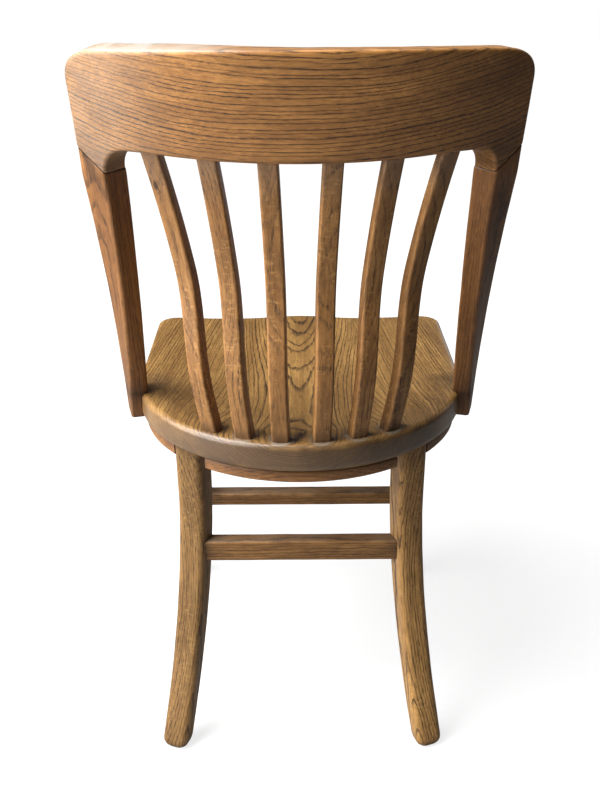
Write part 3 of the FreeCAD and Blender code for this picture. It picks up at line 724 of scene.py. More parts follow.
def linked(tree, kind, settings=None, **inputs):
    """New node with its inputs set or linked by socket name."""
    node = tree.nodes.new(kind)
    for key, value in (settings or {}).items():
        setattr(node, key, value)
    for key, value in inputs.items():
        plug(tree, value, node.inputs[key.replace("_", " ")])
    return node


def parts_of(tree, vector):
    """The three parts of a vector socket, as fields."""
    node = linked(tree, "ShaderNodeSeparateXYZ", Vector=vector)
    return [Field(tree, out) for out in node.outputs]


def node_group(name, inputs):
    """Geometry tree with named inputs of the given kinds, and those inputs as fields."""
    tree = bpy.data.node_groups.new(name, "GeometryNodeTree")
    tree.interface.new_socket("Geometry", in_out="OUTPUT", socket_type="NodeSocketGeometry")
    for label, kind in inputs.items():
        tree.interface.new_socket(label, in_out="INPUT", socket_type="NodeSocket" + kind)
    given = tree.nodes.new("NodeGroupInput")
    return tree, {label: Field(tree, given.outputs[label]) for label in inputs}


def stored(tree, flow, name, value):
    """Geometry with a vector kept on its points."""
    kept = linked(tree, "GeometryNodeStoreNamedAttribute", {"data_type": "FLOAT_VECTOR", "domain": "POINT"},
                  Geometry=flow, Name=name, Value=value)
    return kept.outputs[0]


def end_group(tree, flow, material):
    """Last nodes of a geometry tree: real geometry with its material."""
    flow = linked(tree, "GeometryNodeRealizeInstances", Geometry=flow).outputs[0]
    flow = linked(tree, "GeometryNodeSetMaterial", Geometry=flow, Material=material).outputs[0]
    linked(tree, "NodeGroupOutput", Geometry=flow)


def grown_mesh(context, name, tree, inputs, start=None):
    """Plain mesh that a node tree makes from a starting mesh or from nothing."""
    carrier = bpy.data.objects.new(name + "_nodes", start or bpy.data.meshes.new(name + "_start"))
    context.scene.collection.objects.link(carrier)
    modifier = carrier.modifiers.new("Nodes", "NODES")
    modifier.node_group = tree
    for socket in tree.interface.items_tree:
        if socket.in_out == "INPUT" and socket.name in inputs:
            modifier[socket.identifier] = inputs[socket.name]
    graph = context.evaluated_depsgraph_get()
    mesh = bpy.data.meshes.new_from_object(carrier.evaluated_get(graph), depsgraph=graph)
    mesh.name = name
    carrier.modifiers.remove(modifier)
    bpy.data.objects.remove(carrier)
    if len(mesh.polygons) == 0:
        raise RuntimeError(name + ": the node tree made nothing")
    mesh.set_sharp_from_angle(angle=SHARP_EDGE)
    return mesh


# Finishes


def emptied(name):
    """Material of that name, and its node tree with nothing in it."""
    mat = bpy.data.materials.get(name) or bpy.data.materials.new(name)
    mat.use_nodes = True
    mat.node_tree.nodes.clear()
    return mat, mat.node_tree


def stretched_noise(tree, vector, scale, detail=2.0, roughness=0.5, distortion=0.0):
    placed = linked(tree, "ShaderNodeMapping", Vector=vector, Scale=scale)
    node = linked(tree, "ShaderNodeTexNoise", Vector=placed.outputs[0], Scale=1.0, Detail=detail,
                  Roughness=roughness, Distortion=distortion)
    return Field(tree, node.outputs["Fac"])


def scattered(tree, vector, scale, part):
    """Distance to the nearest spot of a scatter, and 1 for the part of the spots that is chosen."""
    cells = linked(tree, "ShaderNodeTexVoronoi", Vector=vector, Scale=scale)
    chosen = Field(tree, cells.outputs["Color"]).limits(1.0 - part, 1.0 - part * 0.9)
    return Field(tree, cells.outputs["Distance"]), chosen


def mixed(tree, part, low, high):
    """Colour between two colours, each a tuple or a socket."""
    node = tree.nodes.new("ShaderNodeMix")
    node.data_type = "RGBA"
    node.clamp_factor = True
    for index, value in ((0, part), (6, low), (7, high)):
        plug(tree, (*value, 1.0) if isinstance(value, tuple) else value, node.inputs[index])
    return node.outputs[2]


def carried(tree, name):
    """Vector that a piece's mesh carries under a name."""
    return linked(tree, "ShaderNodeAttribute", {"attribute_name": name}).outputs["Vector"]


def early_wood(tree, grain, ring, wander, seed):
    """1 in the porous early wood of each growth ring, 0 in the dense late wood."""
    _, wide, thick = parts_of(tree, grain)
    drift = stretched_noise(tree, grain, (2.6, 11.0, 11.0), 2.0)
    ripple = stretched_noise(tree, grain, (26.0, 80.0, 80.0), 3.0, 0.6)
    radius = (wide * wide + thick * thick).apply("SQRT")
    rings = (radius + (drift - 0.5) * wander + (ripple - 0.5) * 0.0034) / ring + seed
    uneven = linked(tree, "ShaderNodeTexNoise", {"noise_dimensions": "1D"}, W=rings * 0.43, Scale=1.0,
                    Detail=1.0)
    rings = rings + (Field(tree, uneven.outputs["Fac"]) - 0.5) * 1.4
    phase = rings.apply("FRACT")
    return phase.limits(0.06, 0.36, 1.0, 0.0).apply("MAXIMUM", phase.limits(0.94, 1.0))


def oak(name, late, pore, dust_and_highlight, ring, lines, pores, fleck=0.0, top_dust_and_highlight=0.0, coat=0.12, speck=0.0, knots=0.0,
        coarse=1.0, wander=0.020, end_coat=0.0, end_stain=0.0, seed=0.0):
    """Stained ring-porous oak: growth rings about the heart, open pores, ray fleck, wear, grime with
    painted shade, dust with painted highlight, and a tone per piece that is partly painted light.

    ring is the width of a growth ring and wander how far the rings stray. lines, pores, fleck, the top
    dust, speck and knots are strengths, and end_coat and end_stain are what end grain adds in gloss and
    stain. The top dust greys upward faces, as dust and, on the crest, as a painted highlight.
    """
    mat, tree = emptied(name)

    def toned(*factors):
        return tuple(min(1.0, c * k) for c, k in zip(late, factors))

    grain = carried(tree, "grain")
    wear, grime_and_shade, grey = parts_of(tree, carried(tree, "age"))
    end, tone_and_painted_light, _ = parts_of(tree, carried(tree, "cut"))

    def figure(scale, *rest):
        return stretched_noise(tree, grain, scale, *rest)

    # Strengths of the figure
    early = early_wood(tree, grain, ring, wander, seed)
    streak = figure((13.0, 520.0, 520.0), 3.0, 0.65).limits(0.32, 0.58)
    dash_scale = tuple(k / coarse for k in (62.0, 860.0, 860.0))
    dash = figure(dash_scale, 2.0, 0.6).limits(0.50, 0.64)
    vessel = figure((120.0, 2100.0, 2100.0), 2.0, 0.6).limits(0.48, 0.68)
    tone = figure((4.5, 34.0, 34.0), 3.0, 0.6)
    fine = figure((10.0, 300.0, 300.0), 3.0, 0.65)
    mottle = figure((95.0, 340.0, 340.0), 4.0, 0.7)
    blotches = figure((26.0, 26.0, 26.0), 4.0, 0.65)
    strength = figure((3.0, 16.0, 16.0), 1.0).limits(0.25, 0.7, 0.6, 1.2)
    dark = early * (streak * 0.75 + 0.25) * strength * lines * (1.0 - end * 0.3)
    dark = dark.apply("MINIMUM", 1.0)
    holes = ((dash * 0.75 + vessel * 0.5) * (early * 0.60 + 0.40) * pores).apply("MINIMUM", 1.0)

    # Stained wood
    deep = toned(0.60, 0.54, 0.48)
    shade = mixed(tree, tone.limits(0.28, 0.72), deep, toned(1.34, 1.34, 1.30))
    shade = mixed(tree, fine.limits(0.32, 0.68, 0.0, 0.72), shade, deep)
    shade = mixed(tree, mottle.limits(0.46, 0.72, 0.0, 0.40), shade, toned(1.45, 1.45, 1.45))
    shade = mixed(tree, mottle.limits(0.30, 0.46, 0.45, 0.0), shade, toned(0.55, 0.50, 0.45))
    if fleck > 0:
        rays = figure((300.0, 95.0, 260.0), 2.0, 0.5, 0.8).limits(0.55, 0.66)
        zone = figure((9.0, 30.0, 30.0), 1.0).limits(0.44, 0.58)
        shade = mixed(tree, rays * zone * fleck, shade, toned(1.6, 1.7, 1.8))
    # Whole piece lightened or darkened by its tone, painted light on the left post and the legs
    scaled = linked(tree, "ShaderNodeVectorMath", {"operation": "SCALE"}, Vector=shade, Scale=tone_and_painted_light + 1.0)
    shade = mixed(tree, end * 0.78, scaled.outputs[0], toned(0.27, 0.24, 0.23))
    if end_stain > 0:
        soaked = end.limits(0.42, 0.72) * (early * 0.6 + 0.4) * end_stain
        shade = mixed(tree, soaked, shade, toned(0.22, 0.19, 0.18))
    shade = mixed(tree, dark, shade, pore)
    shade = mixed(tree, holes, shade, pore)

    # Wear, grime with painted shade, and dust with painted highlight
    rubbed = wear * blotches.limits(0.40, 0.64, 0.0, 0.5)
    shade = mixed(tree, rubbed, shade, toned(1.5, 1.45, 1.4))
    # Darkened towards the pore colour: grime, and painted shade where parts meet and under them
    dirt_and_shade = grime_and_shade * blotches.limits(0.25, 0.6, 0.35, 0.9)
    shade = mixed(tree, dirt_and_shade, shade, tuple(c * 0.8 for c in pore))
    # Greyed towards the dust colour: dust, and on the crest's top a painted highlight
    shade = mixed(tree, grey * blotches.limits(0.28, 0.60, 0.45, 0.95), shade, dust_and_highlight)
    # Upward faces greyed towards the dust colour: dust, and on the crest a painted highlight
    if top_dust_and_highlight > 0:
        normal = linked(tree, "ShaderNodeNewGeometry").outputs["Normal"]
        upward = parts_of(tree, normal)[2].limits(0.45, 0.90)
        shade = mixed(tree, upward * blotches.limits(0.3, 0.7, 0.35, 1.0) * top_dust_and_highlight, shade, dust_and_highlight)
    if knots > 0:
        drawn_out = linked(tree, "ShaderNodeMapping", Vector=grain, Scale=(16.0, 26.0, 26.0))
        away, chosen = scattered(tree, drawn_out.outputs[0], 1.0, knots)
        spot = (away + (mottle - 0.5) * 0.16).limits(0.05, 0.11, 0.9, 0.0)
        shade = mixed(tree, spot * chosen, shade, pore)
    if speck > 0:
        away, chosen = scattered(tree, grain, 34.0, speck)
        shade = mixed(tree, away.limits(0.030, 0.050, 1.0, 0.0) * chosen, shade, (0.55, 0.53, 0.48))

    rough = (tone * 0.16 + 0.32) + holes * 0.25 + rubbed * 0.15 + dirt_and_shade * 0.15 + mottle * 0.10
    height = (dark * -0.6) - holes * 0.8 + fine * 0.25 + mottle * 0.30 + blotches * 0.2
    bump = linked(tree, "ShaderNodeBump", Height=height, Strength=0.45, Distance=0.0007)
    gloss = end * end_coat + coat if end_coat else coat
    shader = linked(tree, "ShaderNodeBsdfPrincipled", Base_Color=shade, Roughness=rough,
                    Normal=bump.outputs[0], Coat_Weight=gloss, Coat_Roughness=0.30, Specular_IOR_Level=0.36)
    linked(tree, "ShaderNodeOutputMaterial", Surface=shader.outputs[0])
    return mat


def steel(name):
    """Dull plain steel of old wood screws, with rust in patches."""
    mat, tree = emptied(name)
    place = linked(tree, "ShaderNodeTexCoord").outputs["Object"]
    patch = stretched_noise(tree, place, (420.0, 420.0, 420.0), 4.0, 0.6).limits(0.45, 0.7)
    shade = mixed(tree, patch, (0.30, 0.29, 0.27), (0.12, 0.055, 0.025))
    shader = linked(tree, "ShaderNodeBsdfPrincipled", Base_Color=shade, Roughness=patch * 0.35 + 0.38,
                    Metallic=patch * -0.7 + 0.95)
    linked(tree, "ShaderNodeOutputMaterial", Surface=shader.outputs[0])
    return mat


def dowel_wood(name):
    """Pale straight-grained wood of the hidden dowels."""
    mat, tree = emptied(name)
    place = linked(tree, "ShaderNodeTexCoord").outputs["Object"]
    streak = stretched_noise(tree, place, (900.0, 900.0, 40.0), 3.0).limits(0.35, 0.7)
    shade = mixed(tree, streak, (0.56, 0.38, 0.20), (0.42, 0.26, 0.12))
    shader = linked(tree, "ShaderNodeBsdfPrincipled", Base_Color=shade, Roughness=streak * 0.2 + 0.55)
    linked(tree, "ShaderNodeOutputMaterial", Surface=shader.outputs[0])
    return mat


OAK_FINISHES = {
    # The crest's upward faces are greyed as dust and as a painted highlight
    "crest_oak": dict(wood="crest", ring=0.0048, lines=0.95, pores=0.75, top_dust_and_highlight=0.15, coat=0.40, speck=0.22,
                      end_coat=-0.40, end_stain=0.90),
    "post_oak": dict(wood="post", ring=0.0034, lines=0.6, pores=0.7, seed=0.3),
    "slat_oak": dict(wood="slat", ring=0.0042, lines=0.34, pores=1.0, fleck=0.6, speck=0.15, knots=0.35,
                     seed=0.6),
    "seat_oak": dict(wood="seat", ring=0.0036, lines=0.95, pores=0.8, coat=0.60, speck=0.2, wander=0.012,
                     end_coat=0.4, end_stain=0.95, seed=0.1),
    "leg_oak": dict(wood="leg", ring=0.0029, lines=0.75, pores=1.15, fleck=0.4, coarse=1.3, seed=0.8),
    "stretcher_oak": dict(wood="bar", ring=0.0040, lines=0.8, pores=1.0, top_dust_and_highlight=0.24, coarse=1.3, seed=0.2),
    "apron_oak": dict(wood="apron", ring=0.0036, lines=0.5, pores=0.6, seed=0.5),
    "plug_wood": dict(wood="post", ring=0.0030, lines=0.5, pores=0.7, seed=0.4),
}


def finish(scene, slot):
    """Material of one of the chair's slots."""
    if slot == "screw_steel":
        return steel(slot)
    if slot == "dowel_wood":
        return dowel_wood(slot)
    colours = scene.chair_colours
    settings = dict(OAK_FINISHES[slot])
    late = tuple(getattr(colours, settings.pop("wood")))
    return oak(slot, late, tuple(colours.pore), tuple(colours.dust_and_highlight), **settings)


# Operators


class CHAIR_OT_crest_rail(bpy.types.Operator):
    """Bowed and raked crest rail with its arched arms"""
    bl_idname = "chair.crest_rail"
    bl_label = "Crest Rail"

    def outline(self, chair, middle):
        """The rail rolled out flat: distance from the centre round its middle, and height."""
        back = chair.back
        arm = back.arm_angle * middle
        inner, outer = arm - back.arm_width / 2, arm + back.arm_width / 2
        top_half = math.asin(math.sin(back.arm_angle) * back.outer_radius / middle) * middle

        def top(run):
            return np.stack((run, chair.crest_top - back.crest_crown * (run / top_half) ** 2), -1)

        arch_start = inner - back.arch_radius
        level_end = arch_start - back.arch_run
        arch_z = chair.crest_bottom + back.bottom_lift
        part = np.linspace(0, 1, 24)
        lower_z = chair.crest_bottom + back.bottom_lift * part ** 2
        lower = np.stack((part * (level_end - back.level_run), lower_z), 1)
        turn = np.radians(np.linspace(0, 90, 14))
        arch_x, arch_drop = back.arch_radius * np.sin(turn), back.arch_radius * (1 - np.cos(turn))
        arch = np.stack((arch_start + arch_x, arch_z - arch_drop), 1)

        # The arm runs past the joint, where it is cut off later
        low = chair.joint_z - 0.9 * back.arm_width
        spare_round = 0.012
        inner_foot, outer_foot = np.array((inner, low)), np.array((outer, low))
        end_run = outer + back.end_flare
        corner = top(end_run)
        inner_turn = rounded_corner(arch[-1], inner_foot, outer_foot, spare_round)
        outer_turn = rounded_corner(inner_foot, outer_foot, corner, spare_round)

        low_end = corner + unit(outer_foot - corner) * back.corner_radius
        top_end = corner + unit(top(end_run - 0.05) - corner) * back.corner_run
        part = np.linspace(0, 1, 20)[:, None]
        shoulder = low_end * (1 - part) ** 2 + corner * (2 * part * (1 - part)) + top_end * part ** 2
        upper = top(np.linspace(shoulder[-1][0], 0, 40)[1:])
        half = np.vstack((lower, ((level_end, arch_z),), arch, inner_turn, outer_turn, shoulder, upper))
        other_half = half[::-1][1:-1] * (-1, 1)
        return resampled(np.vstack((half, other_half)), 0.0028)

    def execute(self, context):
        chair = Chair(context.scene)
        back = chair.back
        middle = back.outer_radius - (back.thickness_low + back.thickness_top) / 4
        outline = self.outline(chair, middle)
        place, side, deep, faces = plate(outline, back.edge_round, back.edge_round, 0.0048, 0.0048)
        turn, z = place[:, 0] / middle, place[:, 1]
        thick = chair.crest_thickness(z)
        depth = np.where(side < 0.5, 1 - deep / thick, deep / thick)
        verts = chair.crest_point(turn, z, depth)
        high = np.clip((z - chair.crest_bottom) / back.crest_height, 0, 1) ** 3
        more_left = ease((verts[:, 0] + 0.02) / 0.17) * 0.8 + 0.2
        verts[:, 2] += back.worn_top * high * more_left * (depth - 0.15)
        point, normal = chair.joint_plane()
        point = point + normal * back.joint_gap
        cuts = [(point * (sx, 1, 1), normal * (sx, 1, 1)) for _, sx in SIDES]
        shape = trimmed(verts, faces, cuts, back.joint_arris)

        lean = np.array((0.0, math.sin(back.rake), math.cos(back.rake)))
        heart = chair.crest_point(0.0, chair.crest_top) + lean * 0.26 + (0.0, 0.02, 0.0)
        grown = board((1.0, 0.0, 0.0), lean, heart, 0.35)
        under = near_height(chair.crest_bottom, 0.008)
        on_arms = near_height(chair.joint_z - 0.004, 0.010)

        # Darker along the lower edge and on the arms, grime and painted shade, with dark joint lines
        def grime_and_shade(co):
            return under(co) * 0.35 + on_arms(co) * 0.35 + chair.joint_line(co)

        # Greyed band along the top and a greyed left end, strongest where the light falls: a painted
        # highlight with some dust
        def dust_and_highlight(co, no):
            top = ease((co[:, 0] - 0.02) / 0.13) * ease((no[:, 2] - 0.45) / 0.4)
            return top + 0.20 * ease((co[:, 0] - 0.11) / 0.09)

        make_piece(chair, "crest_rail_oak", shape, grown, finish(context.scene, "crest_oak"), "crest_rail",
                   grime_and_shade, dust_and_highlight, seed=1)
        return {"FINISHED"}


class CHAIR_OT_back_posts(bpy.types.Operator):
    """Two twisting posts from the seat's sides to the crest's arms"""
    bl_idname = "chair.back_posts"
    bl_label = "Back Posts"

    def execute(self, context):
        chair = Chair(context.scene)
        back = chair.back
        z, inset = stations(chair.post_bottom, chair.joint_z + back.arm_width, 0.005, back.post_round)
        centre, turn, width, thick = chair.post_frame(z)
        bar = sweep(centre, *facing(turn), width, thick, back.post_round, inset)
        point, normal = chair.joint_plane()
        bar = trimmed(*bar, [(point - normal * back.joint_gap, -normal)], back.joint_arris)
        along = centre[-1] - centre[0]
        material = finish(context.scene, "post_oak")
        near_seat = near_height(chair.seat.height, 0.012)

        # Darker near the seat, grime and painted shade where the post meets it, with dark joint lines
        def grime_and_shade(co):
            return near_seat(co) + chair.joint_line(co)

        for side, sx in SIDES:
            shape = bar if sx > 0 else mirrored(*bar)
            heart = centre[len(centre) // 2] * (sx, 1, 1) + (-0.030 * sx, -0.055, 0.0)
            grown = board(along * (sx, 1, 1), (1.0, 0.3 * sx, 0.0), heart, 1.7 + sx * 0.6)
            # The left post is a lighter copy of the post oak: a painted highlight on the lit side
            make_piece(chair, side + "_post_oak", shape, grown, material, side + "_back_post", grime_and_shade,
                       tone_and_painted_light=0.15 if sx > 0 else 0.0, seed=3 + sx)
        return {"FINISHED"}


class CHAIR_OT_back_slats(bpy.types.Operator):
    """Curved slats, spread and turned round the seat and the crest by a node tree"""
    bl_idname = "chair.back_slats"
    bl_label = "Back Slats"

    def sizes(self, chair):
        """Values of the node tree's inputs."""
        slat = chair.slat
        head = chair.crest_point(0.0, chair.crest_bottom)
        crest_radius = chair.back.outer_radius - chair.crest_thickness(chair.crest_bottom) / 2
        return {
            "Count": slat.count, "Seat Radius": chair.seat.half_width - slat.rim,
            "Seat First": slat.seat_first, "Seat Pitch": slat.seat_pitch,
            "Crest Radius": crest_radius, "Crest Centre": head[1] - crest_radius,
            "Crest First": slat.crest_first, "Crest Pitch": slat.crest_pitch,
            "Foot": chair.seat.height, "Head": chair.crest_bottom, "Bow": slat.bow, "Dip": slat.dip,
            "Turn From": slat.turn_low, "Turn To": slat.turn_high, "Width": slat.width,
            "Lower Thickness": slat.thickness_low, "Upper Thickness": slat.thickness_top,
            "Edge Round": slat.edge_round, "Shift": chair.shift[1],
        }

    def blanks(self, tree, size):
        """Straight slats of unit height in a row, one unit apart, with ends for the seat and crest."""
        seat_sink, crest_sink = 0.02, 0.05
        line = linked(tree, "GeometryNodeCurvePrimitiveLine", Start=(0, 0, -seat_sink),
                      End=(0, 0, 1 + crest_sink))
        line = linked(tree, "GeometryNodeResampleCurve", Curve=line.outputs[0], Count=84)
        outline = linked(tree, "GeometryNodeCurvePrimitiveQuadrilateral", Width=size["Width"],
                         Height=size["Lower Thickness"])
        outline = linked(tree, "GeometryNodeFilletCurve", {"mode": "POLY"}, Curve=outline.outputs[0],
                         Radius=size["Edge Round"], Count=6)
        outline = linked(tree, "GeometryNodeSubdivideCurve", Curve=outline.outputs[0], Cuts=1)
        blank = linked(tree, "GeometryNodeCurveToMesh", Curve=line.outputs[0],
                       Profile_Curve=outline.outputs[0], Fill_Caps=True)
        row = linked(tree, "GeometryNodeMeshLine", Count=size["Count"], Offset=(1.0, 0.0, 0.0))
        copies = linked(tree, "GeometryNodeInstanceOnPoints", Points=row.outputs[0],
                        Instance=blank.outputs[0])
        return linked(tree, "GeometryNodeRealizeInstances", Geometry=copies.outputs[0]).outputs[0]

    def lot(self, tree, index, seed, low, high):
        """Random place in the tree that a slat was cut from."""
        node = linked(tree, "FunctionNodeRandomValue", {"data_type": "FLOAT"}, ID=index, Seed=seed)
        node.inputs[2].default_value = low
        node.inputs[3].default_value = high
        return Field(tree, node.outputs[1])

    def tree(self, sizes):
        kinds = {name: "Int" if name == "Count" else "Float" for name in sizes}
        tree, size = node_group("Slat Row", {**kinds, "Material": "Material"})
        flow = self.blanks(tree, size)
        px, py, pz = parts_of(tree, tree.nodes.new("GeometryNodeInputPosition").outputs[0])
        index = px.apply("ROUND")
        u = px - index

        # Turn of each slat round the seat and round the crest
        spot = (size["Count"] - 1.0) * 0.5 - index
        sign = spot.apply("SIGN")
        steps = spot.apply("ABSOLUTE") - 0.5
        low = (steps * size["Seat Pitch"] + size["Seat First"]) * sign
        high = (steps * size["Crest Pitch"] + size["Crest First"]) * sign
        turn = low + (high - low) * pz.apply("MINIMUM", 1.0)
        cos, sin = turn.apply("COSINE"), turn.apply("SINE")
        foot_x, foot_y = low.apply("SINE") * size["Seat Radius"], low.apply("COSINE") * size["Seat Radius"]
        head_x = high.apply("SINE") * size["Crest Radius"]
        head_y = high.apply("COSINE") * size["Crest Radius"] + size["Crest Centre"]

        # Bend and thickness along each slat
        part = ((pz - size["Turn From"]) / (size["Turn To"] - size["Turn From"])).limits(0.0, 1.0)
        bend = pz * (1.0 - pz) * size["Bow"] * 4.0 * (part * (size["Dip"] + 1.0) - size["Dip"])
        thin = size["Upper Thickness"] / size["Lower Thickness"]
        out = py * (pz.limits(0.0, 1.0) * (thin - 1.0) + 1.0) - bend
        x = foot_x + (head_x - foot_x) * pz + cos * u + sin * out
        y = foot_y + (head_y - foot_y) * pz - sin * u + cos * out + size["Shift"]
        rise = size["Head"] - size["Foot"]
        moved = linked(tree, "ShaderNodeCombineXYZ", X=x, Y=y, Z=size["Foot"] + rise * pz)

        grain = linked(tree, "ShaderNodeCombineXYZ", X=pz * rise + self.lot(tree, index, 11, 0.0, 6.0),
                       Y=u + self.lot(tree, index, 12, -0.05, 0.05),
                       Z=out + self.lot(tree, index, 13, 0.03, 0.075))
        corner = u.apply("ABSOLUTE") / size["Width"] + py.apply("ABSOLUTE") / size["Lower Thickness"]
        # Worn corners; darker at the foot, grime and painted shade where the slat meets the seat; dust near
        # the top
        age = linked(tree, "ShaderNodeCombineXYZ", X=corner.limits(0.76, 0.90),
                     Y=pz.limits(0.0, 0.06, 0.75, 0.0), Z=pz.limits(0.84, 1.0, 0.0, 0.14))
        flow = stored(tree, flow, "grain", grain.outputs[0])
        flow = stored(tree, flow, "age", age.outputs[0])
        flow = linked(tree, "GeometryNodeSetPosition", Geometry=flow, Position=moved.outputs[0]).outputs[0]
        flow = linked(tree, "GeometryNodeSetShadeSmooth", Geometry=flow).outputs[0]
        end_group(tree, flow, size["Material"])
        return tree

    def execute(self, context):
        chair = Chair(context.scene)
        material = finish(context.scene, "slat_oak")
        sizes = self.sizes(chair)
        mesh = grown_mesh(context, "back_slats_oak", self.tree(sizes), {"Material": material, **sizes})
        nodes = ["back_slat_%d" % (i + 1) for i in range(chair.slat.count)]
        hand_over("back_slats_oak", mesh, material, nodes)
        return {"FINISHED"}


class CHAIR_OT_seat_boards(bpy.types.Operator):
    """Dished seat with a round back edge, glued up from three boards"""
    bl_idname = "chair.seat_boards"
    bl_label = "Seat Boards"

    def outline(self, seat):
        w, front, r = seat.half_width, -seat.front_reach, seat.corner_radius
        turn = np.linspace(0, math.pi, 220)
        back_edge = np.stack((w * np.cos(turn), w * np.sin(turn)), 1)
        turn = np.linspace(0, math.pi / 2, 16)
        right_front = np.stack((-w + r - r * np.cos(turn), front + r - r * np.sin(turn)), 1)
        left_front = np.stack((w - r + r * np.sin(turn), front + r - r * np.cos(turn)), 1)
        x = np.linspace(-w + r, w - r, 60)[1:-1]
        front_edge = np.stack((x, front - seat.front_bow * (1 - (x / (w - r)) ** 2)), 1)
        return resampled(np.vstack((back_edge, right_front, front_edge, left_front)), 0.0032)

    def execute(self, context):
        chair = Chair(context.scene)
        seat = chair.seat
        place, side, deep, faces = plate(
            self.outline(seat), seat.top_round, seat.bottom_round, 0.0050, 0.016)
        x, y = place.T
        top = seat.height - chair.dish(x, y) - deep
        verts = np.stack((x, y, np.where(side < 0.5, top, chair.seat_bottom + deep)), 1)
        feet = chair.slat_feet()
        ledge_radius, post_x, post_y = 0.180, 0.190, 0.030

        def grime_and_shade(co):
            amount = np.zeros(len(co))
            # Darker ring round each slat's foot and along the hollow's back rim: grime and painted shade in
            # the creases
            for foot in feet:
                gap = np.linalg.norm(co[:, :2] - foot, axis=1)
                amount += 0.8 * np.exp(-((gap - 0.009) / 0.007) ** 2)
            ledge = np.hypot(co[:, 0], np.clip(co[:, 1], 0, None)) - ledge_radius
            amount += 0.16 * np.exp(-(ledge / 0.016) ** 2) * (co[:, 1] > 0)
            # Painted shadow on the seat round each post
            posts = np.hypot(np.abs(co[:, 0]) - post_x, co[:, 1] - post_y)
            amount += 0.7 * np.exp(-(posts / 0.028) ** 2)
            return amount * (co[:, 2] > seat.height - 0.02)

        def dust_and_highlight(co, no):
            gap = np.min([np.linalg.norm(co[:, :2] - foot, axis=1) for foot in feet[1:]], axis=0)
            return 0.5 * np.exp(-((gap - 0.0120) / 0.0018) ** 2) * (co[:, 2] > seat.height - 0.002)

        def glued(co):
            return np.abs(np.abs(co[:, 0]) - seat.joint_offset)

        left_joint, right_joint = (seat.joint_offset, 0, 0), (-seat.joint_offset, 0, 0)
        to_left, to_right = (1, 0, 0), (-1, 0, 0)
        side_heart, centre_heart = seat.height + 0.070, seat.height + 0.060
        material = finish(context.scene, "seat_oak")
        for name, cuts, along, heart, lot in (
            ("left", [(left_joint, to_left)], (0.13, 1, 0), (0.030, 0, side_heart), 3.1),
            ("centre", [(left_joint, to_right), (right_joint, to_left)], (0.02, 1, 0.050),
             (0.004, 0, centre_heart), 5.2),
            ("right", [(right_joint, to_right)], (-0.13, 1, 0), (-0.030, 0, side_heart), 7.7),
        ):
            make_piece(chair, name + "_seat_oak", trimmed(verts, faces, cuts, 0.0),
                       board(along, (1, 0, 0), heart, lot), material, name + "_seat_board",
                       grime_and_shade, dust_and_highlight, glued, wavy=0.0002, seed=9)
        return {"FINISHED"}


class CHAIR_OT_legs(bpy.types.Operator):
    """Flared back legs and straight front legs"""
    bl_idname = "chair.legs"
    bl_label = "Legs"

    def execute(self, context):
        chair = Chair(context.scene)
        base = chair.base
        top = chair.seat_bottom
        z, inset = stations(0.0, top, 0.006, base.foot_round)
        back_depth = blend(base.back_depth_foot, base.back_depth_top, z / top)
        front_side = blend(base.front_foot, base.front_top, z / top)
        material = finish(context.scene, "leg_oak")

        # Darker at the floor and under the seat: grime and painted shade
        def grime_and_shade(co):
            return np.exp(-co[:, 2] / 0.012) * 0.8 + np.exp((co[:, 2] - top) / 0.012) * 0.5

        def dust_and_highlight(co, no):
            inward = -no[:, 0] * np.sign(co[:, 0])
            return ease((inward - 0.55) / 0.4) * 0.10

        for end, centre, turn, width, depth, lot in (
            ("back", chair.back_leg_centre(z), base.back_angle, base.back_width, back_depth, 11.3),
            ("front", chair.front_leg_centre(z), 0.0, front_side, front_side, 9.0),
        ):
            bar = sweep(centre, *facing(np.full(len(z), turn)), width, depth, base.leg_round, inset)
            along = centre[-1] - centre[0]
            for side, sx in SIDES:
                shape = bar if sx > 0 else mirrored(*bar)
                heart = centre[len(z) // 2] * (sx, 1, 1) + (0.034 * sx, -0.030, 0.0)
                grown = board(along * (sx, 1, 1), (1.0, 0.2, 0.0), heart, lot + sx)
                leg = "%s_%s_leg" % (side, end)
                # Right legs are lighter and left legs darker copies of the leg oak: painted light and
                # painted shade
                make_piece(chair, leg + "_oak", shape, grown, material, leg, grime_and_shade, dust_and_highlight,
                           tone_and_painted_light=-0.20 if sx > 0 else 0.50, seed=15 + sx)
        return {"FINISHED"}


